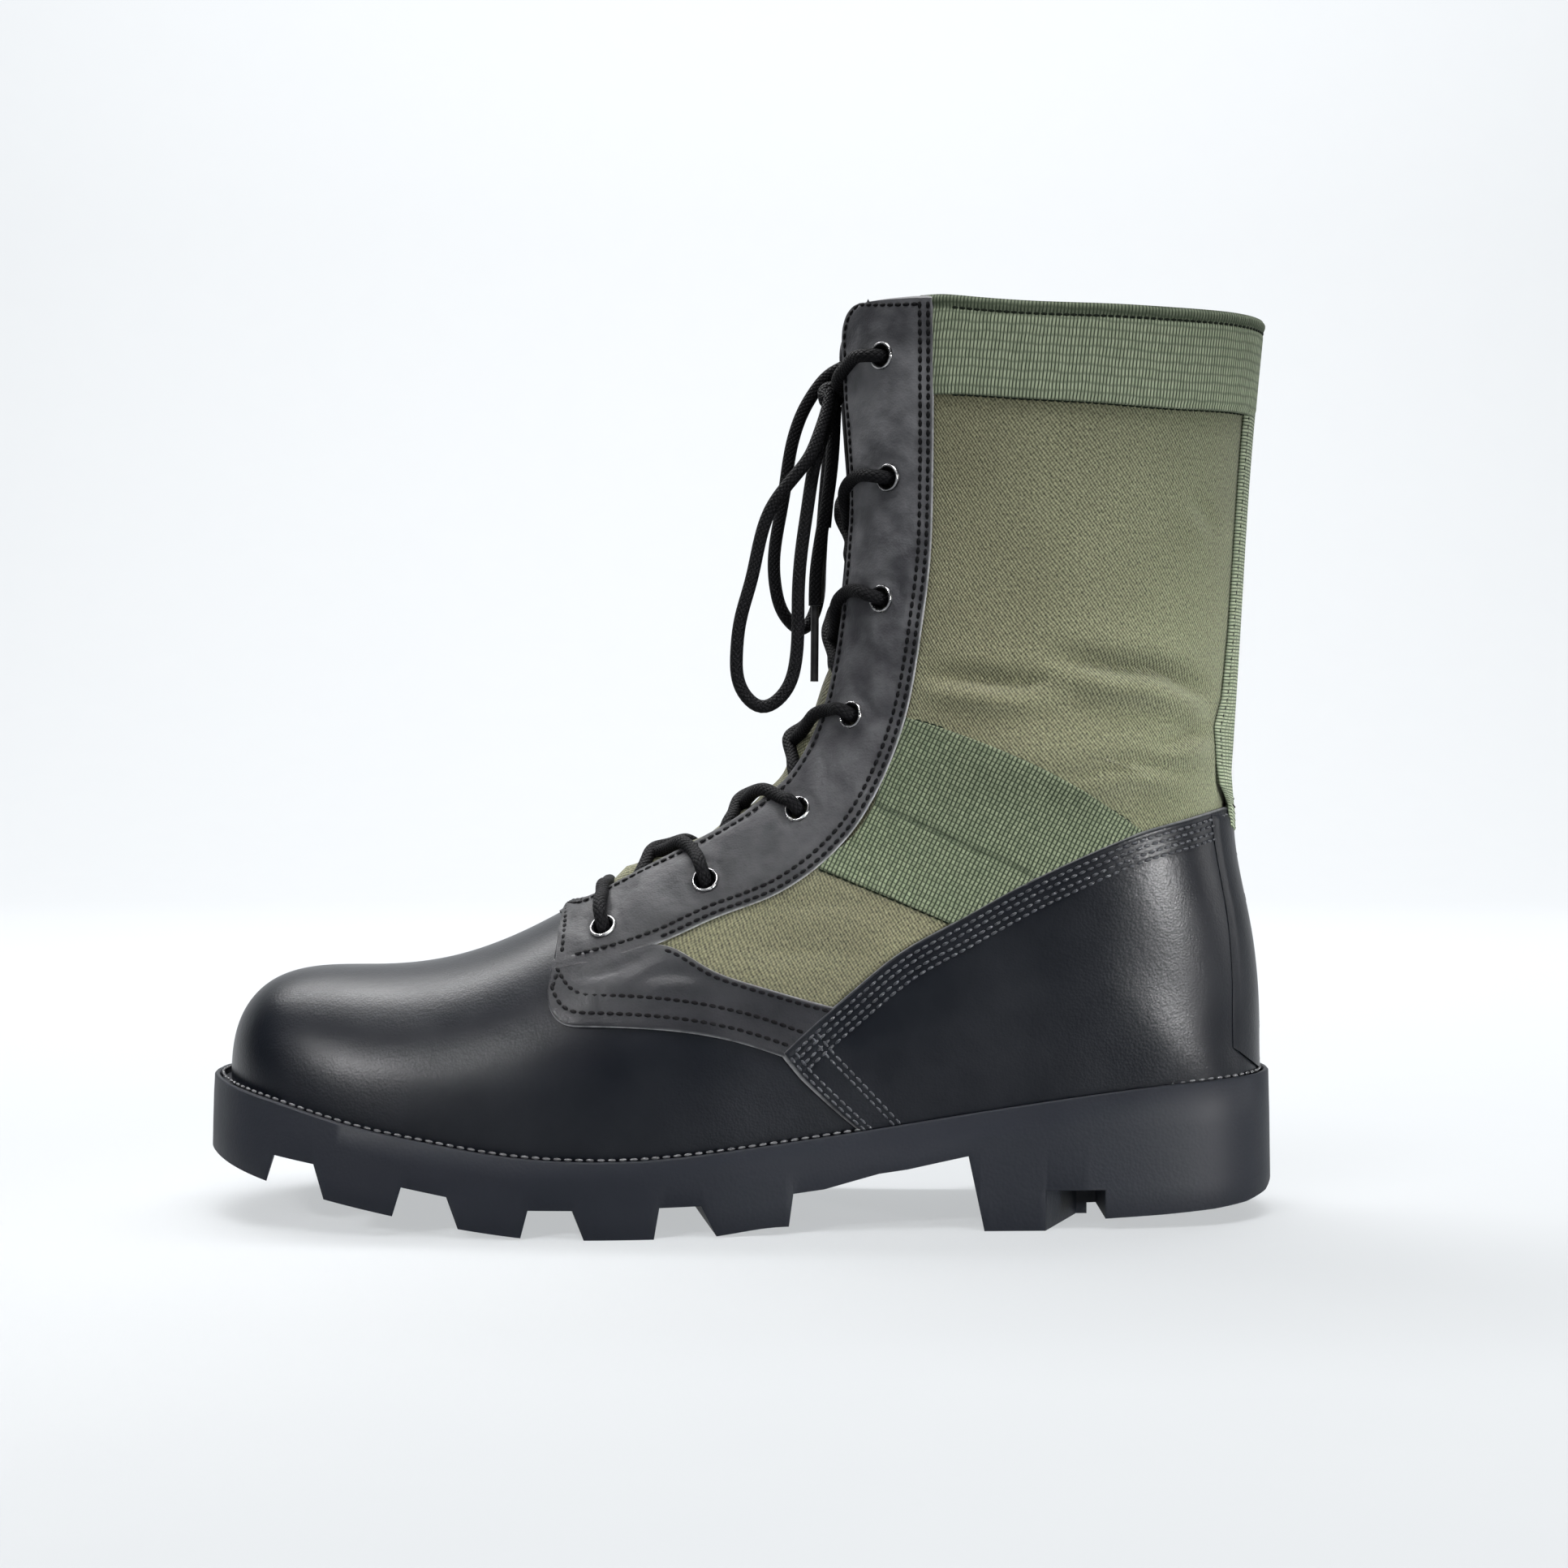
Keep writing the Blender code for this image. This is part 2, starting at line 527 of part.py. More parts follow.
def prism(name, group, profile, start, end, slants=None, edge=0.0):
    """Cutter: a side-view profile run from y = start to y = end; it slants about y = edge."""
    slants = slants or (0.0,) * len(profile)
    near = [(x + slant * (start - edge), start, z) for (x, z), slant in zip(profile, slants)]
    return extruded(name, group, near, [(slant * (end - start), end - start, 0.0) for slant in slants])


def combine(thing, other, operation):
    """Boolean of thing with other."""
    step = thing.modifiers.new(f"{operation.lower()} {other.name}", "BOOLEAN")
    step.operation = operation
    step.solver = "EXACT"
    step.object = other
    return step


def run_length(points):
    """Distance along a line to each of its points."""
    points = np.asarray(points, float)
    return np.concatenate(([0.0], np.cumsum(np.linalg.norm(np.diff(points, axis=0), axis=1))))


def through(points, step):
    """Smooth line through points, read about every step millimetres."""
    run = run_length(points)
    count = max(2, int(round(run[-1] / step)) + 1)
    return Spline(run, np.asarray(points, float))(np.linspace(0.0, run[-1], count))


def edge(points, shift=0.0, step=12.0):
    """Side-view edge through points, moved to the left of its run by shift."""
    line = through(points, step)
    along = np.gradient(line, axis=0)
    along /= np.linalg.norm(along, axis=1, keepdims=True)
    return line + shift * np.stack((-along[:, 1], along[:, 0]), axis=1)


def outline_of(*edges):
    """Closed side-view outline from edges that follow one another."""
    corners = np.vstack(edges)
    keep = np.linalg.norm(corners - np.roll(corners, 1, axis=0), axis=1) > 0.05
    return [tuple(corner) for corner in corners[keep]]


def overlay(name, group, cutters, look, cutter, sides, first, last):
    """Skin on the upper between two stations, cut to the cutter's outline."""
    stations = STATIONS[(STATIONS > first) & (STATIONS < last + 1e-9)]
    skin = form_sheet(name, group, look, sides, stations, UPPER_COLUMNS, GAP + SKIN, SKIN)
    combine(skin, cutter, "INTERSECT")
    return skin


def frame_at(x, z, side, offset):
    """Place and outward direction of a side-view point on the overlay's face."""
    s, angle = BOOT.locate(np.array([x]), np.array([z]))
    place = BOOT.point(s, angle, np.array([side]), np.array([offset]))[0]
    return Vector(place), Vector(BOOT.normal(s, angle, np.array([side]))[0])


def turned(name, group, look, profile, place, axis):
    """Ring turned from a closed profile about an axis."""
    bm = bmesh.new()
    turn = axis.to_track_quat("Z", "Y")
    loops = []
    for radius, height in profile:
        angles = np.linspace(0.0, 2.0 * math.pi, EYELET_SIDES, endpoint=False)
        ring = [Vector((radius * math.cos(a), radius * math.sin(a), height)) for a in angles]
        loops.append([bm.verts.new(place + turn @ point) for point in ring])
    for low, high in zip(loops, loops[1:] + loops[:1]):
        for i in range(EYELET_SIDES):
            j = (i + 1) % EYELET_SIDES
            bm.faces.new((low[i], low[j], high[j], high[i]))
    bmesh.ops.recalc_face_normals(bm, faces=bm.faces)
    return finish_mesh(bm, name, group, look)


def hole_cutter(name, group, frames):
    """Cutter: a round pin through each eyelet's place."""
    bm = bmesh.new()
    for place, axis in frames:
        matrix = Matrix.Translation(place) @ axis.to_track_quat("Z", "Y").to_matrix().to_4x4()
        bmesh.ops.create_cone(
            bm, cap_ends=True, segments=EYELET_SIDES, radius1=EYELET_HOLE, radius2=EYELET_HOLE, depth=14.0,
            matrix=matrix,
        )
    thing = finish_mesh(bm, name, group, None)
    thing.hide_render = True
    thing.display_type = "WIRE"
    return thing


def tube(name, group, look, points, radius):
    """Round cord along points, its ends closed."""
    line = bpy.data.curves.new(name, "CURVE")
    line.dimensions = "3D"
    line.bevel_depth = radius * MM
    line.bevel_resolution = 2
    line.use_fill_caps = True
    route = line.splines.new("POLY")
    route.points.add(len(points) - 1)
    for corner, place in zip(route.points, np.asarray(points) * MM):
        corner.co = (*place, 1.0)
    line.materials.append(look)
    thing = bpy.data.objects.new(name, line)
    group.objects.link(thing)
    return thing


def tube_mesh(name, group, look, points, radius):
    """Round cord as a mesh, ready to be joined to another."""
    draft = tube(name + " draft", group, look, points, radius)
    bpy.context.view_layer.update()
    mesh = bpy.data.meshes.new_from_object(draft.evaluated_get(bpy.context.evaluated_depsgraph_get()))
    bpy.data.objects.remove(draft, do_unlink=True)
    thing = bpy.data.objects.new(name, mesh)
    group.objects.link(thing)
    return thing


def even_low_angle(stations):
    """Angles to which the columns are spread: the seat along the foot, easing to the back of the heel."""
    waist = BOOT.knots["waist"]
    ends = (float(BOOT.seat_angle(np.array([waist]))[0]), math.pi)
    eased = np.interp(stations, (waist, BOOT.heel), ends)
    return np.where(stations < waist, BOOT.seat_angle(stations), eased)


def collar_dip(s, angle):
    """How far the collar's edge dips between the front and the back, as a step in s."""
    near_top = np.clip((s - 0.86) / 0.14, 0.0, 1.0)
    return COLLAR_DIP / (0.5 * BOOT.length) * near_top**2 * np.sin(angle) ** 2


def form_grid(bm, sides, stations, columns, top_angle, low_angle, spread_angle, offset):
    """Add a patch of the boot's form to bm for each side: stations by columns."""
    for side in sides:
        patch = bmesh.ops.create_grid(bm, x_segments=len(stations) - 1, y_segments=columns, size=1.0)
        corners = patch["verts"]
        row = np.rint([(v.co.x + 1.0) * 0.5 * (len(stations) - 1) for v in corners]).astype(int)
        share = np.array([(v.co.y + 1.0) * 0.5 for v in corners])
        s = stations[row]
        angle = np.minimum(top_angle[row] + share * (spread_angle[row] - top_angle[row]), low_angle[row])
        s = s - collar_dip(s, angle)
        lift = offset(s, angle) if callable(offset) else np.full(s.shape, offset)
        places = BOOT.point(s, angle, np.full(s.shape, side), lift)
        for corner, place in zip(corners, places):
            corner.co = Vector(place)
        if side > 0:
            faces = [f for f in bm.faces if all(v in set(corners) for v in f.verts)]
            bmesh.ops.reverse_faces(bm, faces=faces)


def face_outward(bm):
    """Turn the faces of an open sheet outwards, judged at its widest point."""
    face = max(bm.faces, key=lambda f: abs(f.calc_center_median().y))
    face.normal_update()
    if face.normal.y * face.calc_center_median().y < 0.0:
        bmesh.ops.reverse_faces(bm, faces=bm.faces)


def form_sheet(name, group, look, sides, stations, columns, offset, thickness, top_angle=None, low_angle=None):
    """Sheet on the boot's form, thickened inwards with Solidify."""
    top = BOOT.throat_angle(stations) if top_angle is None else top_angle
    low = BOOT.seat_angle(stations) if low_angle is None else low_angle
    spread = even_low_angle(stations) if low_angle is None else low_angle
    bm = bmesh.new()
    form_grid(bm, sides, stations, columns, top, low, spread, offset)
    bmesh.ops.remove_doubles(bm, verts=bm.verts, dist=0.002)
    bmesh.ops.recalc_face_normals(bm, faces=bm.faces)
    face_outward(bm)
    thing = finish_mesh(bm, name, group, look)
    wall = thing.modifiers.new("wall", "SOLIDIFY")
    wall.thickness = thickness * MM
    wall.offset = -1.0
    return thing


def stations_of_upper():
    """Sections at which the upper is drawn: closer at the toe, the throat's end and the collar."""
    toe = BOOT.throat * np.linspace(0.0, 1.0, 12) ** 1.15
    middle = BOOT.throat + (BOOT.heel - BOOT.throat) * np.array(THROAT_TO_HEEL_STEPS)
    shaft = BOOT.heel + (1.0 - BOOT.heel) * (1.0 - np.linspace(1.0, 0.0, 10) ** 1.6)
    return np.concatenate((toe, middle, shaft[1:]))


STATIONS = stations_of_upper()
UPPER_COLUMNS = 10


def build_outsole(group, cutters):
    """Moulded sole: rim lip, seat, side walls, tread, cross grooves, waist and heel notches."""
    count = 44
    outline = PlanOutline(count)
    width = ledge(outline.loop[:, 0])
    rings = (
        outline.ring(width + TREAD_FLARE, tread_z),
        outline.ring(width + TREAD_FLARE * 0.6, lambda x: 0.45 * tread_z(x) + 0.55 * rim_z(x)),
        outline.ring(width, rim_z),
        outline.ring(width - LIP_WIDTH, rim_z),
        outline.ring(width - LIP_WIDTH, seat_z),
    )
    sole = loft("outsole", group, rubber(), rings, count)
    for i, row in enumerate(GROOVES):
        groove = dict(zip(GROOVE_COLUMNS, row))
        low = -4.0
        profile = (
            (groove["mouth_front"], low), (groove["ceiling_front"], groove["front_z"]),
            (groove["ceiling_back"], groove["back_z"]), (groove["mouth_back"], low),
        )
        slants = (GROOVE_SLANT,) * len(profile)
        groove_cut = prism(f"groove {i + 1}", cutters, profile, -70.0, 70.0, slants, GROOVE_EDGE_Y)
        combine(sole, groove_cut, "DIFFERENCE")
    waist = prism("waist", cutters, WAIST_PROFILE, -70.0, 70.0, WAIST_SLANTS, WAIST_EDGE_Y)
    combine(sole, waist, "DIFFERENCE")
    for side, name in ((-1.0, "outer"), (1.0, "inner")):
        plan = [(x, side * y, -5.0) for x, y in HEEL_NOTCH_PLAN]
        rise = [(0.0, 0.0, 5.0 + HEEL_NOTCH_HEIGHT)] * len(plan)
        combine(sole, extruded(f"heel notch {name}", cutters, plan, rise), "DIFFERENCE")
    combine(sole, prism("heel lift", cutters, HEEL_LIFT_PROFILE, -70.0, 70.0), "DIFFERENCE")
    return sole


def build_insole(group):
    """Footbed on the seat, inside the upper's wall."""
    count = 26
    outline = PlanOutline(count)
    inset = -(WALL + INSOLE_MARGIN) * np.ones(len(outline.loop))
    rings = (
        outline.ring(inset, lambda x: seat_z(x) + GAP),
        outline.ring(inset, lambda x: seat_z(x) + GAP + INSOLE_THICKNESS),
    )
    return loft("insole", group, canvas(), rings, count)


def build_upper(group):
    """Vamp, quarters and shaft as one hollow wall, open at the collar, the throat and underneath."""
    return form_sheet("upper", group, leather(), (-1.0, 1.0), STATIONS, UPPER_COLUMNS, 0.0, WALL)


def tongue_lift(s, angle):
    """Offset of the tongue's outer face: under the eyestays, rising into the throat between them."""
    half = np.abs(np.sin(angle)) ** (2.0 / BOOT.columns(s)["top_power"]) * BOOT.columns(s)["half_width"]
    room = np.clip(BOOT.half_gap(s) - 2.2, 1e-3, THROAT_HALF_GAP - 2.2)
    share = np.clip(half / room, 0.0, 1.0)
    rise = np.interp((s - BOOT.throat) * 0.5 * BOOT.length, TONGUE_RISE_AT, TONGUE_RISE)
    return -(WALL + TONGUE_CLEARANCE) + rise * (1.0 - share**2) ** 2


def build_tongue(group):
    """Tongue: lies under the eyestays and rises into the throat between them."""
    tuck = TONGUE_TUCK / (0.5 * BOOT.length)
    stations = np.append(np.linspace(BOOT.throat - tuck, 0.955, 15), (0.972, 0.985, 0.992))
    width_at = (stations[0], BOOT.throat, 0.955, 0.972, 0.985, 0.992)
    width = np.interp(stations, width_at, np.array(TONGUE_SHARES) * TONGUE_HALF_WIDTH)
    return form_sheet(
        "tongue", group, canvas(), (-1.0, 1.0), stations, 6, tongue_lift, TONGUE_THICKNESS,
        np.zeros_like(stations), BOOT.gap_angle(stations, width),
    )


def build_overlays(group, cutters):
    """Eyestays with the lower quarter leather, ankle webs, counter, cuff and backstay."""
    knots = BOOT.knots
    eyestay = outline_of(
        edge(EYESTAY_REAR), edge(QUARTER_TOP)[1:], edge(COUNTER_TOP[:3], SEAM_GAP)[-2::-1],
        edge(QUARTER_BOTTOM)[-2::-1], edge(QUARTER_FRONT)[-2::-1], BEYOND_THROAT[::-1],
    )
    web = outline_of(
        edge(WEB_TOP), edge(COUNTER_TOP[4:9], SEAM_GAP)[::-1], edge(WEB_FOOT)[::-1], edge(WEB_FRONT)[::-1],
    )
    skins = {}
    for side, name, start, end in ((-1.0, "lateral", -80.0, RIDGE_Y - 1.5), (1.0, "medial", RIDGE_Y + 1.5, 80.0)):
        cut = prism(f"eyestay cut {name}", cutters, eyestay, start, end)
        first = BOOT.throat - 0.06
        skins[name] = overlay(f"eyestay_{name}", group, cutters, leather(), cut, (side,), first, 1.0)
        cut = prism(f"ankle web cut {name}", cutters, web, start, end)
        overlay(f"ankle_web_{name}", group, cutters, webbing(), cut, (side,), BOOT.throat, 1.0)
    foot_x = np.array(COUNTER_FOOT_X)
    foot = np.column_stack((foot_x, rim_z(foot_x) + COUNTER_FOOT_CLEARANCE))
    counter = outline_of(edge(COUNTER_TOP), foot[::-1], edge(COUNTER_FRONT)[-2:0:-1])
    both = (-1.0, 1.0)
    cut = prism("counter cut", cutters, counter, -80.0, 80.0)
    overlay("counter", group, cutters, leather(), cut, both, BOOT.throat, 1.0)
    cuff = outline_of(edge(CUFF_FOOT), ((160.0, 264.0), (CUFF_FOOT[0][0], 264.0)))
    overlay("cuff", group, cutters, webbing(), prism("cuff cut", cutters, cuff, -80.0, 80.0), both, 0.8, 1.0)
    half, low, high = BACKSTAY_HALF_WIDTH, BACKSTAY_FOOT, BACKSTAY_TOP
    strip = [(110.0, -half, low), (110.0, half, low), (110.0, half, high), (110.0, -half, high)]
    cut = extruded("backstay cut", cutters, strip, [(60.0, 0.0, 0.0)] * 4)
    overlay("backstay", group, cutters, webbing(), cut, both, 0.5 * (BOOT.heel + knots["heel turn"]), 1.0)
    return skins


def build_eyelets(group, cutters, upper, skins):
    """Eyelet rings in holes through the eyestays and the upper."""
    for side, name in ((-1.0, "lateral"), (1.0, "medial")):
        frames = [frame_at(x, z, side, GAP + SKIN) for x, z in EYELETS]
        for i, (place, axis) in enumerate(frames):
            turned(f"eyelet_{name}_{i + 1}", group, eyelet_metal(), EYELET_PROFILE, place, axis)
        holes = hole_cutter(f"eyelet holes {name}", cutters, frames)
        combine(skins[name], holes, "DIFFERENCE")
        combine(upper, holes, "DIFFERENCE")


def lace_point(s, gap, side):
    """Place of the lace's middle over the tongue or the eyestay, gap away from the ridge."""
    s = np.array([s])
    angle = BOOT.gap_angle(s, np.array([gap]))
    over_tongue = tongue_lift(s, angle) + LACE_OVER_TONGUE + LACE_RADIUS
    over_skin = GAP + SKIN + LACE_CLEARANCE + LACE_RADIUS
    climb = np.clip((gap - 2.0) / 8.0, 0.0, 1.0)
    offset = over_skin if side > 0 and gap > 10.0 else over_tongue + (over_skin - over_tongue) * climb * (side > 0)
    return s, angle, np.broadcast_to(offset, s.shape)


def stop_point(x, z, side):
    """Place of a strand's end, just short of an eyelet."""
    s, angle = BOOT.locate(np.array([x]), np.array([z]))
    over_skin = np.array([GAP + SKIN + LACE_CLEARANCE + LACE_RADIUS])
    sides = np.array([side])
    eyelet = BOOT.point(s, angle, sides, over_skin)

    def is_far(back):
        return np.linalg.norm(BOOT.point(s, angle - back, sides, over_skin) - eyelet, axis=-1) < LACE_STOP

    back = bisect(np.zeros(1), np.full(1, 0.6), is_far)
    return BOOT.point(s, angle - back, sides, over_skin)[0]


def strand_line(lower, upper, side):
    """Line of one strand from beside one eyestay, over the other, to its eyelet."""
    ends = [float(BOOT.locate(np.array([x]), np.array([z]))[0][0]) for x, z in (lower, upper)]
    points = []
    for row in STRAND:
        place = dict(zip(STRAND_COLUMNS, row))
        s, angle, offset = lace_point(ends[0] + place["share"] * (ends[1] - ends[0]), place["gap"], place["side"])
        points.append(BOOT.point(s, angle, np.array([side * place["side"]]), offset)[0])
    points.append(stop_point(*upper, side))
    return through(points, 7.0)


def bar_line(eyelet, drop):
    """Line of a bar across the throat between two eyelets, its middle lower by drop."""
    s = float(BOOT.locate(np.array([eyelet[0]]), np.array([eyelet[1]]))[0][0])
    halves = []
    for side in (-1.0, 1.0):
        points = [stop_point(*eyelet, side)]
        for gap, sink in ((16.5, 0.1), (12.6, 0.35), (6.5, 0.8)):
            at, angle, offset = lace_point(s - sink * drop, gap, 1)
            points.append(BOOT.point(at, angle, np.array([side]), offset)[0])
        halves.append(points)
    at, angle, offset = lace_point(s - drop, 0.0, 1)
    middle = BOOT.point(at, angle, np.array([1.0]), offset)
    return through(np.vstack((halves[0], middle, halves[1][::-1])), 7.0)


def build_laces(group, cutters):
    """Bars and crossings over the throat, then the knot, the bow's loops and the ends with their tips."""
    tube("lace_bar", group, lace_cord(), bar_line(EYELETS[-1], 0.0), LACE_RADIUS)
    tube("lace_top", group, lace_cord(), bar_line(EYELETS[0], 7.0 / (0.5 * BOOT.length)), LACE_RADIUS)
    for i in range(1, len(EYELETS) - 1):
        lines = [strand_line(EYELETS[i + 1], EYELETS[i], side) for side in (-1.0, 1.0)]
        first = tube_mesh(f"lace_cross_{i}", group, lace_cord(), lines[0], LACE_RADIUS)
        second = tube_mesh(f"lace strand {i}", cutters, lace_cord(), lines[1], LACE_RADIUS)
        second.hide_render = True
        second.display_type = "WIRE"
        combine(first, second, "UNION")
    tube("lace_knot", group, lace_cord(), through(KNOT, 3.0), KNOT_RADIUS)
    for name, route in (
        ("lace_loop_near", LOOP_NEAR), ("lace_loop_far", LOOP_FAR),
        ("lace_end_near", END_NEAR), ("lace_end_far", END_FAR),
    ):
        tube(name, group, lace_cord(), through(route, 9.0), LACE_RADIUS)
    for name, route in (("lace_tip_near", TIP_NEAR), ("lace_tip_far", TIP_FAR)):
        tube(name, group, eyelet_metal(), through(route, 10.0), TIP_RADIUS)


def main():
    clear_scene()
    group = new_collection("combat boot")
    cutters = new_collection("cutters")
    build_outsole(group, cutters)
    build_insole(group)
    upper = build_upper(group)
    build_tongue(group)
    skins = build_overlays(group, cutters)
    build_eyelets(group, cutters, upper, skins)
    build_laces(group, cutters)


main()
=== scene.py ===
"""Looks of a left lace-up combat boot: black leather, olive canvas, green webbing and a lugged rubber sole.

Sizes are in millimetres in the boot's own frame: toe towards -X, outer side towards -Y, up +Z.
"""

from __future__ import annotations

import logging
import math
from collections.abc import Callable, Sequence
from dataclasses import dataclass, field
from enum import Enum

import bmesh
import bpy
import numpy as np
from mathutils import Matrix, Vector

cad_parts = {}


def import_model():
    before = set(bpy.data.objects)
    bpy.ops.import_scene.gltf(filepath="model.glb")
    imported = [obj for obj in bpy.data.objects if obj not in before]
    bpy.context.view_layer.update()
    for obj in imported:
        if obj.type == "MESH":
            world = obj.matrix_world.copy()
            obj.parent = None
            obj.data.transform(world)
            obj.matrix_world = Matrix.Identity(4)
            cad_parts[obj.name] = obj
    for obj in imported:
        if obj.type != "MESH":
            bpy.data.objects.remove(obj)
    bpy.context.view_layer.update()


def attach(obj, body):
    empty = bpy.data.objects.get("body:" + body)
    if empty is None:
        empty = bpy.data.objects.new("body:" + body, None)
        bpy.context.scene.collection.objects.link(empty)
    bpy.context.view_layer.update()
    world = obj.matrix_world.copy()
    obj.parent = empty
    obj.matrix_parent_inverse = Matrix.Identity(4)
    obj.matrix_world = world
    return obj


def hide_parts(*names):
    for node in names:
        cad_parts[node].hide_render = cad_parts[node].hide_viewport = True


log = logging.getLogger("combat_boot")

Line = Sequence[tuple[float, float]]
Route = Sequence[tuple[float, float, float]]

MM = 0.001
BODY = "root"


class Side(Enum):
    """Side of the foot, with the sign of its Y."""

    LATERAL = -1.0
    MEDIAL = 1.0

    @property
    def label(self) -> str:
        """Name used in the pieces' names."""
        return self.name.lower()


class Spline:
    """Natural cubic spline through rows of values."""

    def __init__(self, knots: Sequence[float], values: Sequence) -> None:
        self.knots = np.asarray(knots, float)
        self.values = np.asarray(values, float)
        self.bends = self._second_derivatives()

    def _second_derivatives(self) -> np.ndarray:
        """Second derivatives at the knots.

        Returns:
            One row for each knot, zero at both ends.
        """
        steps = np.diff(self.knots)
        count = len(self.knots)
        system = np.eye(count)
        right = np.zeros_like(self.values)
        for i in range(1, count - 1):
            system[i, i - 1] = steps[i - 1]
            system[i, i] = 2.0 * (steps[i - 1] + steps[i])
            system[i, i + 1] = steps[i]
            rise = (self.values[i + 1] - self.values[i]) / steps[i]
            fall = (self.values[i] - self.values[i - 1]) / steps[i - 1]
            right[i] = 6.0 * (rise - fall)
        return np.linalg.solve(system, right)

    def __call__(self, at: np.ndarray | float) -> np.ndarray:
        """Values of the spline at the places at."""
        at = np.asarray(at, float)
        i = np.clip(np.searchsorted(self.knots, at) - 1, 0, len(self.knots) - 2)
        step = self.knots[i + 1] - self.knots[i]
        a = (self.knots[i + 1] - at) / step
        b = (at - self.knots[i]) / step
        shape = (...,) + (None,) * (self.values.ndim - 1)
        cubic_a = ((a**3 - a) * step**2 / 6.0)[shape]
        cubic_b = ((b**3 - b) * step**2 / 6.0)[shape]
        low, high = self.values[i], self.values[i + 1]
        return a[shape] * low + b[shape] * high + cubic_a * self.bends[i] + cubic_b * self.bends[i + 1]


def bisect(low: np.ndarray, high: np.ndarray, above: Callable) -> np.ndarray:
    """Place between low and high where above turns from true to false.

    Args:
        low: Start of each search, where above is true.
        high: End of each search, where above is false.
        above: Test of an array of places.

    Returns:
        The places found.
    """
    low, high = np.array(low, float), np.array(high, float)
    for _ in range(44):
        middle = 0.5 * (low + high)
        test = above(middle)
        low, high = np.where(test, middle, low), np.where(test, high, middle)
    return 0.5 * (low + high)


def run_length(points: np.ndarray) -> np.ndarray:
    """Distance along a line to each of its points."""
    return np.concatenate(([0.0], np.cumsum(np.linalg.norm(np.diff(points, axis=0), axis=1))))


def through(points: Sequence, count: int) -> np.ndarray:
    """Smooth line through points.

    Args:
        points: Corners that the line passes.
        count: Number of points to read off.

    Returns:
        Points at equal steps of the corners' run.
    """
    corners = np.asarray(points, float)
    run = run_length(corners)
    return Spline(run, corners)(np.linspace(0.0, run[-1], count))


def fine_ends(width: float, inner: int, edge: Sequence[float] = (0.0, 0.25, 0.6, 1.1, 1.8)) -> np.ndarray:
    """Shares from 0 to 1 across a width, closer at both ends.

    Args:
        width: Width in millimetres.
        inner: Number of steps between the ends.
        edge: Distances of the close steps from each end.

    Returns:
        The shares in order.
    """
    near = np.asarray(edge) / width
    middle = np.linspace(near[-1], 1.0 - near[-1], inner + 1)[1:-1]
    return np.concatenate((near, middle, 1.0 - near[::-1]))


@dataclass
class SoleLine:
    """Height of the sole's rim along the boot and the lines that hang on it."""

    rim: tuple = (
        (-150.6, 38.9, 4.7), (-127.6, 35.2, 4.4), (-102.9, 29.0, 4.0), (-83.0, 25.2, 3.8),
        (-64.0, 22.1, 3.7), (-45.0, 20.6, 3.7), (-27.0, 20.6, 3.7), (-2.0, 22.7, 3.7),
        (42.0, 28.4, 3.7), (83.0, 34.6, 3.6), (126.0, 39.4, 4.1), (151.0, 40.4, 4.7),
    )
    seat_drop: float = 2.0
    seat_clearance: float = 0.5
    flat_front: float = -50.0
    flat_back: float = -12.0
    toe_spring: float = 18.6
    toe_power: float = 1.35
    ball_rise: float = 2.3
    ball_rise_length: float = 24.4
    toe_x: float = -150.6

    def __post_init__(self) -> None:
        self.spline = Spline([row[0] for row in self.rim], [row[1:] for row in self.rim])

    def rim_z(self, x: np.ndarray) -> np.ndarray:
        """Height of the rim at x."""
        return self.spline(np.clip(x, -152.0, 152.0))[..., 0]

    def ledge(self, x: np.ndarray) -> np.ndarray:
        """Width of the ledge round the upper at x."""
        return self.spline(np.clip(x, -152.0, 152.0))[..., 1]

    def seat_z(self, x: np.ndarray) -> np.ndarray:
        """Height of the seat inside the rim at x."""
        return self.rim_z(x) - self.seat_drop

    def feather_z(self, x: np.ndarray) -> np.ndarray:
        """Height of the upper's lower edge at x."""
        return self.seat_z(x) + self.seat_clearance

    def tread_z(self, x: np.ndarray) -> np.ndarray:
        """Height of the tread at x."""
        front = np.clip((self.flat_front - x) / (self.flat_front - self.toe_x), 0.0, None)
        back = np.clip((x - self.flat_back) / self.ball_rise_length, 0.0, 1.0)
        eased = back * back * (3.0 - 2.0 * back)
        return self.toe_spring * front**self.toe_power + self.ball_rise * eased * (x < 40.0)


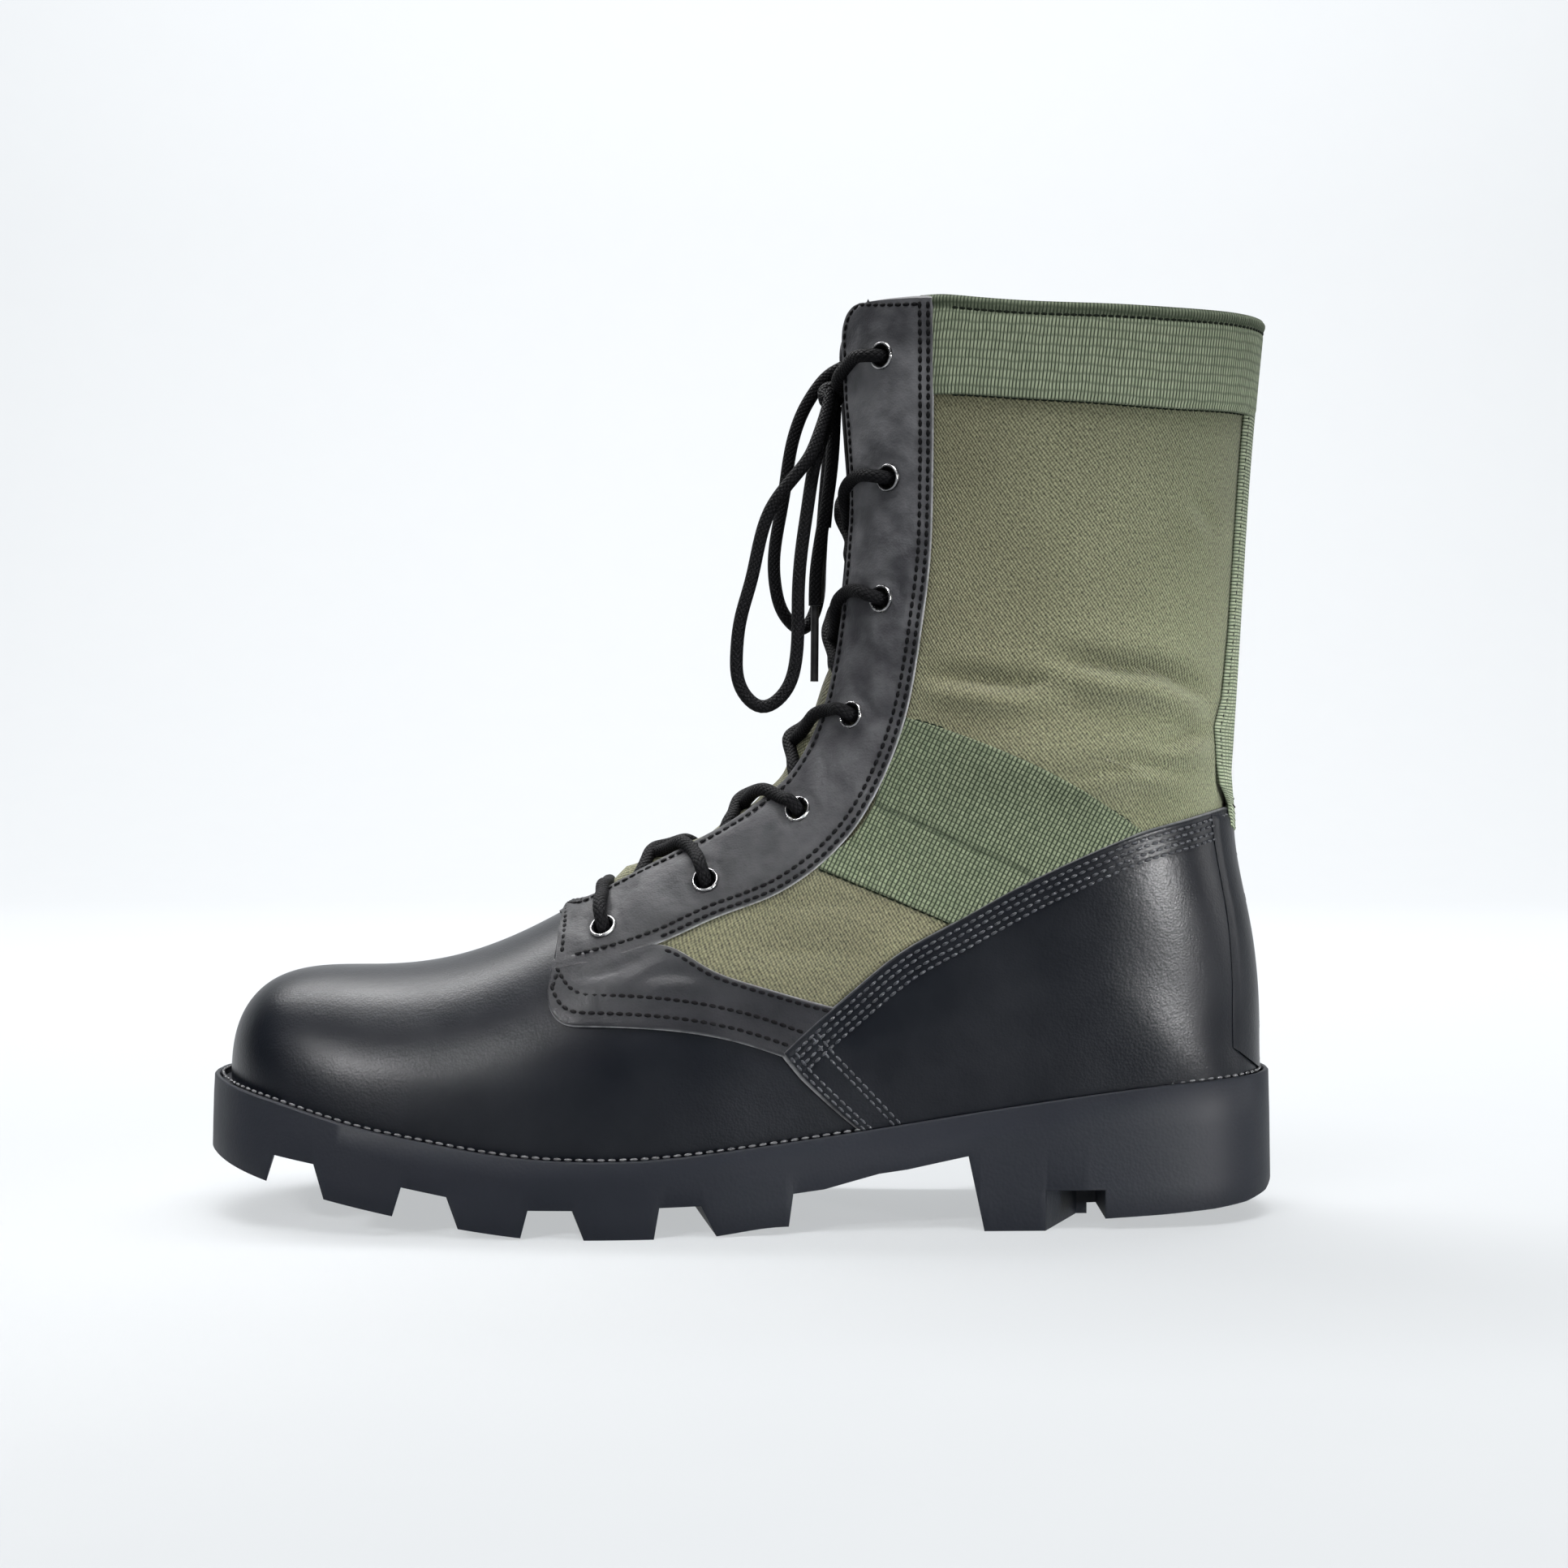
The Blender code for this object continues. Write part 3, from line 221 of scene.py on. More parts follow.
@dataclass
class BootForm:
    """Outer form of the boot: sections swept from the toe tip round the heel to the collar."""

    sole: SoleLine
    half_ball: float = 47.5
    collar_height: float = 254.0
    throat_x: float = -48.8
    throat_gap: float = 12.0
    throat_gap_top: float = 12.5
    throat_round: float = 9.0
    collar_corner: float = 9.0
    dip_angle: tuple = (0.0, 0.84, 1.03, 1.2, 1.48, 1.73, 2.04, 2.43, math.pi)
    collar_dip: tuple = (0.0, 0.0, 0.3, 1.5, 2.8, 2.8, 2.5, 1.5, 0.0)
    columns: tuple[str, ...] = (
        "top_x", "top_z", "bottom_x", "bottom_z", "half_width",
        "ridge_y", "base_y", "widest", "top_power", "bottom_power",
    )
    even: tuple[int, ...] = (1, 0, 1, 0, 0, 1, 1, 1, 1, 1)
    sections: tuple = (
        ("toe tip", -145.9, 37.3, -145.9, 37.3, 0.0, 6.5, 6.5, 0.50, 2.3, 2.0),
        ("toe cap front", -143.8, 53.5, -143.8, 21.0, 0.29, 6.3, 6.3, 0.50, 2.3, 2.0),
        ("toe cap", -136.0, 63.6, -136.0, 8.0, 0.57, 5.5, 5.0, 0.50, 2.3, 2.0),
        ("toe box", -122.0, 68.2, -122.0, -5.0, 0.78, 4.5, 3.5, 0.50, 2.3, 2.0),
        ("toe break", -102.0, 68.8, -102.0, -14.0, 0.905, 3.5, 2.0, 0.47, 2.2, 2.0),
        ("ball front", -80.0, 72.0, -80.0, -20.0, 0.965, 3.0, 0.5, 0.47, 2.15, 2.0),
        ("ball", -58.0, 80.7, -57.0, -22.0, 0.995, 2.5, -0.5, 0.51, 2.1, 2.0),
        ("throat", -38.0, 92.0, -31.0, -22.0, 0.965, 2.0, -3.0, 0.55, 2.05, 2.0),
        ("instep", -20.0, 102.8, 2.0, -20.0, 0.845, 1.5, -6.0, 0.56, 2.05, 2.0),
        ("waist", -6.0, 112.0, 42.0, -16.0, 0.735, 1.0, -6.0, 0.54, 2.05, 2.0),
        ("heel breast", 4.0, 119.3, 90.0, -10.0, 0.725, 0.7, -3.5, 0.48, 2.05, 2.0),
        ("heel side", 10.5, 125.3, 128.0, -4.0, 0.735, 0.5, -1.5, 0.46, 2.05, 2.1),
        ("heel turn", 14.0, 130.0, 142.2, 11.0, 0.74, 0.3, -0.7, 0.46, 2.05, 2.2),
        ("heel corner", 17.0, 135.0, 146.3, 26.0, 0.745, 0.2, -0.3, 0.46, 2.05, 2.3),
        ("heel back", 19.5, 140.0, 145.7, 38.8, 0.75, 0.0, 0.0, 0.46, 2.05, 2.3),
        ("counter", 22.5, 148.0, 145.4, 55.0, 0.76, 0.0, 0.0, 0.46, 2.05, 2.25),
        ("counter top", 25.0, 157.5, 143.4, 78.0, 0.77, 0.0, 0.0, 0.47, 2.1, 2.2),
        ("ankle", 27.3, 169.5, 138.7, 103.0, 0.785, 0.0, 0.0, 0.48, 2.15, 2.15),
        ("shaft low", 29.0, 184.0, 138.9, 129.0, 0.805, 0.0, 0.0, 0.49, 2.2, 2.1),
        ("shaft", 30.2, 203.0, 141.2, 166.0, 0.83, 0.0, 0.0, 0.50, 2.2, 2.1),
        ("shaft high", 28.8, 226.0, 143.8, 208.0, 0.85, 0.0, 0.0, 0.50, 2.2, 2.1),
        ("collar", 27.6, 254.0, 147.8, 251.6, 0.865, 0.0, 0.0, 0.50, 2.2, 2.1),
    )

    def __post_init__(self) -> None:
        rows = np.array([row[1:] for row in self.sections], float)
        rows[:, 4] *= self.half_ball
        tops = np.linalg.norm(np.diff(rows[:, 0:2], axis=0), axis=1)
        bottoms = np.linalg.norm(np.diff(rows[:, 2:4], axis=0), axis=1)
        knots = np.concatenate(([0.0], np.cumsum(tops + bottoms)))
        self.length = float(knots[-1])
        knots /= self.length
        mirrored = np.where(np.array(self.even, bool), rows[1], 2.0 * rows[0] - rows[1])
        self.spline = Spline(np.concatenate(([-knots[1]], knots)), np.vstack((mirrored, rows)))
        self.knots = {row[0]: float(knot) for row, knot in zip(self.sections, knots)}
        self.throat = float(
            bisect(0.0, self.knots["instep"], lambda s: self.row(s)["top_x"] < self.throat_x)
        )
        self.heel = float(bisect(self.knots["heel turn"], self.knots["counter"], self._is_below_seat))

    def row(self, s: np.ndarray | float) -> dict[str, np.ndarray]:
        """Section values at s by column name."""
        values = self.spline(s)
        return {name: values[..., i] for i, name in enumerate(self.columns)}

    def _is_below_seat(self, s: np.ndarray) -> np.ndarray:
        """Whether a section's bottom lies below the upper's lower edge."""
        row = self.row(s)
        return row["bottom_z"] < self.sole.feather_z(row["bottom_x"])

    @staticmethod
    def angle_at(row: dict[str, np.ndarray], share: np.ndarray) -> np.ndarray:
        """Angle round a section at a share of the way down its line."""
        upper = np.clip((row["widest"] - share) / row["widest"], 0.0, 1.0)
        lower = np.clip((share - row["widest"]) / (1.0 - row["widest"]), 0.0, 1.0)
        above = np.arccos(upper ** (row["top_power"] / 2))
        below = np.arccos(-(lower ** (row["bottom_power"] / 2)))
        return np.where(share <= row["widest"], above, below)

    def seat_angle(self, s: np.ndarray) -> np.ndarray:
        """Angle at which a section meets the upper's lower edge, or pi past the heel."""
        row = self.row(s)

        def is_above(share: np.ndarray) -> np.ndarray:
            x = row["top_x"] + share * (row["bottom_x"] - row["top_x"])
            z = row["top_z"] + share * (row["bottom_z"] - row["top_z"])
            return z > self.sole.feather_z(x)

        share = bisect(np.zeros_like(s), np.ones_like(s), is_above)
        angle = np.where(np.asarray(s) >= self.heel - 1e-9, math.pi, self.angle_at(row, share))
        return np.where(np.asarray(s) < 1e-9, math.pi / 2, angle)

    def half_gap(self, s: np.ndarray) -> np.ndarray:
        """Half the throat's gap at s."""
        along = np.clip((s - self.throat) * self.length * 0.5, 0.0, None)
        rounding = np.sqrt(1.0 - np.clip(1.0 - along / self.throat_round, 0.0, 1.0) ** 2)
        up = np.clip((s - self.throat) / (1.0 - self.throat), 0.0, 1.0)
        gap = (self.throat_gap + (self.throat_gap_top - self.throat_gap) * up) * rounding
        below_top = np.clip(self.collar_height - self.row(s)["top_z"], 0.0, self.collar_corner)
        corner = self.collar_corner - np.sqrt(self.collar_corner**2 - (self.collar_corner - below_top) ** 2)
        return gap + corner

    def gap_angle(self, s: np.ndarray, gap: np.ndarray) -> np.ndarray:
        """Angle at which a section is gap wide on each side of its ridge."""
        row = self.row(s)
        share = np.clip(gap / np.maximum(row["half_width"], 1e-6), 0.0, 1.0)
        return np.arcsin(share ** (row["top_power"] / 2))

    def throat_angle(self, s: np.ndarray) -> np.ndarray:
        """Angle of the throat's edge at s, zero in front of the throat."""
        return np.where(s <= self.throat, 0.0, self.gap_angle(s, self.half_gap(s)))

    def on_form(self, s: np.ndarray, angle: np.ndarray, side: np.ndarray) -> np.ndarray:
        """Points of the form; angles past the ridge or the back go over to the other side."""
        folded = (angle < 0.0) | (angle > math.pi)
        angle = np.where(angle < 0.0, -angle, angle)
        angle = np.where(angle > math.pi, 2.0 * math.pi - angle, angle)
        side = np.where(folded, -side, side)
        row = self.row(s)
        upper = angle <= math.pi / 2
        power = np.where(upper, row["top_power"], row["bottom_power"])
        reach = np.abs(np.cos(angle)) ** (2.0 / power)
        bulge = np.abs(np.sin(angle)) ** (2.0 / power)
        widest = row["widest"]
        share = np.where(upper, widest * (1.0 - reach), widest + (1.0 - widest) * reach)
        x = row["top_x"] + share * (row["bottom_x"] - row["top_x"])
        z = row["top_z"] + share * (row["bottom_z"] - row["top_z"])
        middle = row["base_y"] + (row["ridge_y"] - row["base_y"]) * (1.0 - share)
        return np.stack((x, middle + side * row["half_width"] * bulge, z), axis=-1)

    def normal(self, s: np.ndarray, angle: np.ndarray, side: np.ndarray) -> np.ndarray:
        """Outward normals of the form."""
        low, high = np.clip(s - 1e-4, 0.0, 1.0), np.clip(s + 1e-4, 0.0, 1.0)
        along = self.on_form(high, angle, side) - self.on_form(low, angle, side)
        around = self.on_form(s, angle + 1e-3, side) - self.on_form(s, angle - 1e-3, side)
        normal = np.cross(along, around)
        size = np.linalg.norm(normal, axis=-1, keepdims=True)
        normal = np.where(size > 1e-12, normal / np.maximum(size, 1e-12), 0.0)
        row = self.row(s)
        centre_x = 0.5 * (row["top_x"] + row["bottom_x"])
        centre_z = 0.5 * (row["top_z"] + row["bottom_z"])
        centre = np.stack((centre_x, row["base_y"], centre_z), axis=-1)
        outward = np.sum(normal * (self.on_form(s, angle, side) - centre), axis=-1, keepdims=True)
        normal = np.where(outward < 0.0, -normal, normal)
        tip = (np.asarray(s) < 1e-6)[..., None]
        return np.where(tip, np.array((-1.0, 0.0, 0.0)), normal)

    def point(
        self, s: np.ndarray, angle: np.ndarray, side: np.ndarray | float, offset: np.ndarray | float = 0.0
    ) -> np.ndarray:
        """Points a given offset outside the form."""
        s, angle, side, offset = np.broadcast_arrays(s, angle, side, offset)
        return self.on_form(s, angle, side) + offset[..., None] * self.normal(s, angle, side)

    def locate(self, x: np.ndarray, z: np.ndarray) -> tuple[np.ndarray, np.ndarray]:
        """Section and angle at which the form shows the side-view point (x, z)."""
        x, z = np.broadcast_arrays(np.asarray(x, float), np.asarray(z, float))

        def is_past(s: np.ndarray) -> np.ndarray:
            row = self.row(s)
            run, fall = row["bottom_x"] - row["top_x"], row["bottom_z"] - row["top_z"]
            return run * (z - row["top_z"]) - fall * (x - row["top_x"]) > 0.0

        s = bisect(np.full(x.shape, 1e-4), np.ones(x.shape), is_past)
        row = self.row(s)
        run, fall = row["bottom_x"] - row["top_x"], row["bottom_z"] - row["top_z"]
        share = ((x - row["top_x"]) * run + (z - row["top_z"]) * fall) / (run**2 + fall**2)
        return s, self.angle_at(row, np.clip(share, 0.0, 1.0))

    def back_section(self, z: np.ndarray) -> np.ndarray:
        """Sections whose back end lies at the heights z."""
        s = np.linspace(self.heel, 1.0, 400)
        return np.interp(z, self.row(s)["bottom_z"], s)

    def back_strip(
        self, heights: np.ndarray, half_width: np.ndarray, columns: int, dip: np.ndarray | float = 0.0
    ) -> Panel:
        """Panel of a strip up the back.

        Args:
            heights: Heights along the strip.
            half_width: Half its width at each height.
            columns: Number of points across.
            dip: How far its two edges are drawn down at each height.

        Returns:
            The panel, its rows across the strip.
        """
        share = np.linspace(-1.0, 1.0, columns)[:, None]
        s = self.back_section((heights - dip * share**2).ravel()).reshape(columns, -1)
        row = self.row(s)
        reach = np.clip(np.abs(share) * half_width[None, :] / row["half_width"], 0.0, 1.0)
        angle = math.pi + np.sign(share) * np.arcsin(reach ** (row["bottom_power"] / 2))
        return Panel(self, s, angle, Side.LATERAL.value)

    def rail(self, line: Line, count: int) -> np.ndarray:
        """Smooth line on the form through side-view points.

        Args:
            line: Side-view points (x, z).
            count: Number of points to read off.

        Returns:
            Rows of section and angle at equal steps along the form.
        """
        flat = through(line, 8 * count)
        s, angle = self.locate(flat[:, 0], flat[:, 1])
        return self.even_rail(np.column_stack((s, angle)), count)

    def even_rail(self, rail: np.ndarray, count: int) -> np.ndarray:
        """The same line on the form read at equal steps."""
        run = run_length(self.on_form(rail[:, 0], rail[:, 1], np.full(len(rail), Side.LATERAL.value)))
        at = np.linspace(0.0, run[-1], count)
        return np.column_stack([np.interp(at, run, rail[:, i]) for i in range(2)])

    def dipped(self, s: np.ndarray, angle: np.ndarray) -> np.ndarray:
        """Sections lowered by the dip of the collar's edge between its front and back."""
        near_top = np.clip((s - 0.86) / 0.14, 0.0, 1.0)
        folded = np.where(angle > math.pi, 2.0 * math.pi - angle, np.abs(angle))
        dip = np.clip(Spline(self.dip_angle, self.collar_dip)(folded), 0.0, None)
        return s - dip / (0.5 * self.length) * near_top**2


def around_back(rail: np.ndarray) -> np.ndarray:
    """A lateral line that ends at the back, carried on along the medial side."""
    mirrored = np.column_stack((rail[-2::-1, 0], 2.0 * math.pi - rail[-2::-1, 1]))
    return np.vstack((rail, mirrored))


@dataclass(frozen=True)
class Fold:
    """A soft fold on one side of the boot, placed along a side-view line."""

    line: tuple
    depth: float
    width: float
    side: Side = Side.LATERAL
    swell: float = 0.8

    def relief(self, places: np.ndarray) -> np.ndarray:
        """Height that the fold adds at places.

        Args:
            places: Points of the form in millimetres.

        Returns:
            Offsets: below zero in the valley, above it where the cloth swells out under the valley.
        """
        flat = places[..., (0, 2)]
        line = through(self.line, 24)
        run = run_length(line)
        best = np.full(flat.shape[:-1], 1e9)
        where = np.zeros(flat.shape[:-1])
        for i in range(len(line) - 1):
            step = line[i + 1] - line[i]
            rel = flat - line[i]
            share = np.clip((rel @ step) / (step @ step), 0.0, 1.0)
            gap = np.linalg.norm(rel - share[..., None] * step, axis=-1)
            below = np.sign(step[1] * rel[..., 0] - step[0] * rel[..., 1])
            nearer = gap < np.abs(best)
            best = np.where(nearer, gap * below, best)
            where = np.where(nearer, (run[i] + share * np.linalg.norm(step)) / run[-1], where)
        strength = np.sin(np.clip(where, 0.0, 1.0) * math.pi) ** 1.2
        valley = np.exp(-((best / self.width) ** 2))
        under = np.exp(-(((best - 2.2 * self.width) / (1.5 * self.width)) ** 2))
        over = np.exp(-(((best + 2.4 * self.width) / (1.8 * self.width)) ** 2))
        on_side = (places[..., 1] * self.side.value) > 0.0
        shape = self.swell * (under + 0.25 * over) - valley
        return np.where(on_side, self.depth * strength * shape, 0.0)


def total_relief(folds: Sequence[Fold], places: np.ndarray) -> np.ndarray:
    """Sum of several folds at places."""
    relief = np.zeros(places.shape[:-1])
    for fold in folds:
        relief += fold.relief(places)
    return relief


def deselect() -> None:
    """Deselect everything."""
    bpy.ops.object.select_all(action="DESELECT")


def pick(piece: bpy.types.Object) -> None:
    """Make one piece the only selected and active one."""
    deselect()
    piece.select_set(True)
    bpy.context.view_layer.objects.active = piece


def apply_modifier(piece: bpy.types.Object, kind: str, **settings: float | str | bool) -> None:
    """Add a modifier to a piece and apply it.

    Args:
        piece: The piece to change.
        kind: Blender's modifier type.
        settings: Values of the modifier.
    """
    pick(piece)
    bpy.ops.object.modifier_add(type=kind)
    modifier = piece.modifiers[-1]
    for key, value in settings.items():
        setattr(modifier, key, value)
    bpy.ops.object.modifier_apply(modifier=modifier.name)


def smooth(piece: bpy.types.Object, degrees: float = 45.0) -> None:
    """Shade a piece smooth, with sharp edges past an angle."""
    pick(piece)
    bpy.ops.object.shade_smooth_by_angle(angle=math.radians(degrees))


def surface_runs(places: np.ndarray) -> tuple[np.ndarray, np.ndarray]:
    """Distances down the columns and along the rows of a grid of points."""
    down = np.linalg.norm(np.diff(places, axis=0), axis=-1)
    along = np.linalg.norm(np.diff(places, axis=1), axis=-1)
    rows, columns = places.shape[:2]
    run_down = np.concatenate((np.zeros((1, columns)), np.cumsum(down, axis=0)))
    run_along = np.concatenate((np.zeros((rows, 1)), np.cumsum(along, axis=1)), axis=1)
    return run_down, run_along


def grid_piece(
    name: str, places: np.ndarray, uv: np.ndarray, outward: np.ndarray | None = None
) -> bpy.types.Object:
    """Grid primitive with its corners laid on places.

    Args:
        name: Name of the piece.
        places: Rows by columns of points in millimetres.
        uv: Rows by columns of texture places in millimetres.
        outward: Direction that a face in the middle row, a quarter along, should face.

    Returns:
        The new piece.
    """
    rows, columns = places.shape[:2]
    deselect()
    bpy.ops.mesh.primitive_grid_add(x_subdivisions=columns - 1, y_subdivisions=rows - 1, size=1.0)
    piece = bpy.context.object
    piece.name = name
    mesh = piece.data
    mesh.name = name
    mesh.vertices.foreach_set("co", (places * MM).astype(np.float32).ravel())
    corners = np.empty(len(mesh.loops), np.int32)
    mesh.loops.foreach_get("vertex_index", corners)
    layer = mesh.uv_layers.active or mesh.uv_layers.new()
    layer.data.foreach_set("uv", uv.reshape(-1, 2)[corners].astype(np.float32).ravel())
    mesh.update()
    if outward is not None:
        judged = mesh.polygons[(rows // 2) * (columns - 1) + columns // 4]
        if judged.normal.dot(Vector(outward)) < 0.0:
            mesh.flip_normals()
    return piece


def join(name: str, pieces: Sequence[bpy.types.Object], merge: float = 0.02) -> bpy.types.Object:
    """Join pieces into one and merge the corners that meet.

    Args:
        name: Name of the joined piece.
        pieces: Pieces to join.
        merge: Distance in millimetres within which corners merge.

    Returns:
        The joined piece.
    """
    pick(pieces[0])
    for piece in pieces[1:]:
        piece.select_set(True)
    bpy.ops.object.join()
    whole = bpy.context.object
    whole.name = name
    whole.data.name = name
    bpy.ops.object.mode_set(mode="EDIT")
    bpy.ops.mesh.select_all(action="SELECT")
    bpy.ops.mesh.remove_doubles(threshold=merge * MM)
    bpy.ops.object.mode_set(mode="OBJECT")
    return whole


def dress(
    piece: bpy.types.Object,
    look: bpy.types.Material,
    nodes: Sequence[str] = (),
    cord: bool = False,
) -> bpy.types.Object:
    """Give a piece its material and body, and hide the nodes that it stands for.

    Args:
        piece: The finished piece.
        look: Its first material.
        nodes: Nodes that the piece replaces.
        cord: Whether the piece is a cord; it is only noted in the log.

    Returns:
        The piece.
    """
    if not piece.data.materials:
        piece.data.materials.append(look)
    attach(piece, BODY)
    if nodes:
        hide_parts(*nodes)
    log.info("%s: %d faces%s", piece.name, len(piece.data.polygons), ", cord" if cord else "")
    return piece


class Panel:
    """A patch of the boot's form between two lines, rows across and columns along."""

    def __init__(self, form: BootForm, s: np.ndarray, angle: np.ndarray, side: float) -> None:
        self.form = form
        self.s = s
        self.angle = angle
        self.side = side
        self.base = form.point(s, angle, side)
        self.down, self.along = surface_runs(self.base)

    @classmethod
    def between(
        cls, form: BootForm, first: np.ndarray, last: np.ndarray, shares: np.ndarray, side: float
    ) -> Panel:
        """Panel ruled between two lines of equal count.

        Args:
            form: The boot's form.
            first: Section and angle along the first line.
            last: Section and angle along the last line.
            shares: Shares of the way between them, from 0 to 1.
            side: Sign of the side.

        Returns:
            The panel.
        """
        way = shares[:, None]
        s = first[None, :, 0] + way * (last[None, :, 0] - first[None, :, 0])
        angle = first[None, :, 1] + way * (last[None, :, 1] - first[None, :, 1])
        return cls(form, s, angle, side)

    def edge_distance(self, edges: str) -> np.ndarray:
        """Distance to the nearest of the named edges: first, last, begin and end by their initials."""
        reach = {
            "f": self.down, "l": self.down[-1:] - self.down,
            "b": self.along, "e": self.along[:, -1:] - self.along,
        }
        return np.min([reach[edge] for edge in edges], axis=0)

    def line_across(self, distance: float, from_first: bool = True, span: slice = slice(None)) -> np.ndarray:
        """Line along the panel at a distance from its first or last edge."""
        found = []
        for column in range(self.s.shape[1])[span]:
            run = self.down[:, column]
            at = distance if from_first else run[-1] - distance
            found.append([np.interp(at, run, self.s[:, column]), np.interp(at, run, self.angle[:, column])])
        return np.array(found)

    def line_down(self, distance: float, from_begin: bool = True, span: slice = slice(None)) -> np.ndarray:
        """Line across the panel at a distance from its beginning or end."""
        found = []
        for row in range(self.s.shape[0])[span]:
            run = self.along[row]
            at = distance if from_begin else run[-1] - distance
            found.append([np.interp(at, run, self.s[row]), np.interp(at, run, self.angle[row])])
        return np.array(found)

    def sheet(
        self, name: str, offset: np.ndarray, wall: float, cut_edges: str = "",
        shaded: np.ndarray | None = None, uv: np.ndarray | None = None,
    ) -> bpy.types.Object:
        """Piece on the panel at an offset, thickened inwards.

        Args:
            name: Name of the piece.
            offset: Offset of its outer face at each grid point.
            wall: Thickness, or 0 for a single sheet.
            cut_edges: Initials of the edges whose cut shows, for the piece's edge mask.
            shaded: Mask from 0 to 1 of painted shade, which darkens the threads.
            uv: Texture places in millimetres, if not along and down the panel.

        Returns:
            The piece, smooth shaded.
        """
        places = self.form.point(self.s, self.angle, self.side, offset)
        rows, columns = self.s.shape
        judged = (rows // 2, columns // 4)
        outward = self.form.normal(self.s, self.angle, np.full(self.s.shape, self.side))[judged]
        if uv is None:
            uv = np.stack((self.along - 0.5 * self.along[:, -1:], self.down), axis=-1)
        piece = grid_piece(name, places, uv, outward)
        masks = {} if shaded is None else {"shaded": shaded}
        if cut_edges:
            masks["cut_edge"] = np.clip(1.25 - self.edge_distance(cut_edges) / 0.3, 0.0, 1.0)
        for key, mask in masks.items():
            layer = piece.data.attributes.new(key, "FLOAT", "POINT")
            layer.data.foreach_set("value", mask.astype(np.float32).ravel())
        if wall > 0.0:
            apply_modifier(piece, "SOLIDIFY", thickness=wall * MM, offset=-1.0)
        smooth(piece)
        return piece


def crown(distance: np.ndarray, thickness: float, radius: float, low: float = 0.35) -> np.ndarray:
    """Height of a cut edge that rounds up to its full thickness within a radius."""
    share = np.clip(distance / radius, 0.0, 1.0)
    return thickness * (low + (1.0 - low) * np.sqrt(1.0 - (1.0 - share) ** 2))


class Bench:
    """Places and wires the nodes of one material or node group."""

    def __init__(self, tree: bpy.types.NodeTree) -> None:
        self.tree = tree

    def add(self, kind: str, **values: object) -> bpy.types.Node:
        """Add a node and set or link its inputs by name.

        Args:
            kind: Blender's node type.
            values: Inputs by name with underscores for spaces; lower-case names are settings.

        Returns:
            The node.
        """
        node = self.tree.nodes.new(kind)
        for key, value in values.items():
            if key[0].islower():
                setattr(node, key, value)
            else:
                self.feed(node.inputs[key.replace("_", " ")], value)
        return node

    def feed(self, socket: bpy.types.NodeSocket, value: object) -> None:
        """Link a socket to an output or set its value."""
        if isinstance(value, bpy.types.NodeSocket):
            self.tree.links.new(value, socket)
        else:
            socket.default_value = value

    def math(self, operation: str, *values: object, clamp: bool = False) -> bpy.types.NodeSocket:
        """Result of a Math node."""
        node = self.add("ShaderNodeMath", operation=operation, use_clamp=clamp)
        for socket, value in zip(node.inputs, values):
            self.feed(socket, value)
        return node.outputs[0]

    def span(
        self, value: object, low: float, high: float, to_low: float = 0.0, to_high: float = 1.0
    ) -> object:
        """Value mapped from one range to another and clamped."""
        node = self.add(
            "ShaderNodeMapRange", Value=value, From_Min=low, From_Max=high, To_Min=to_low, To_Max=to_high
        )
        return node.outputs[0]

    def weighted(self, first: object, share: float, second: object, other: float) -> bpy.types.NodeSocket:
        """Sum of two values, each times its own weight."""
        return self.math("ADD", self.math("MULTIPLY", first, share), self.math("MULTIPLY", second, other))

    def mix(self, factor: object, first: object, second: object, blend: str = "MIX") -> bpy.types.NodeSocket:
        """Mixed colour."""
        node = self.add("ShaderNodeMix", data_type="RGBA", blend_type=blend)
        self.feed(node.inputs[0], factor)
        self.feed(node.inputs[6], first)
        self.feed(node.inputs[7], second)
        return node.outputs[2]

    def noise(self, vector: object, scale: float, detail: float = 3.0, roughness: float = 0.55) -> object:
        """Value of a noise texture."""
        node = self.add("ShaderNodeTexNoise", Vector=vector, Scale=scale, Detail=detail, Roughness=roughness)
        return node.outputs[0]

    def bump(self, height: object, distance: float, strength: float = 1.0, normal: object = None) -> object:
        """Normal bent by a height."""
        node = self.add("ShaderNodeBump", Height=height, Distance=distance, Strength=strength)
        if normal is not None:
            self.feed(node.inputs["Normal"], normal)
        return node.outputs[0]


Colour = tuple[float, float, float]


def rgba(colour: Colour) -> tuple[float, float, float, float]:
    """Colour with full alpha."""
    return (*colour, 1.0)


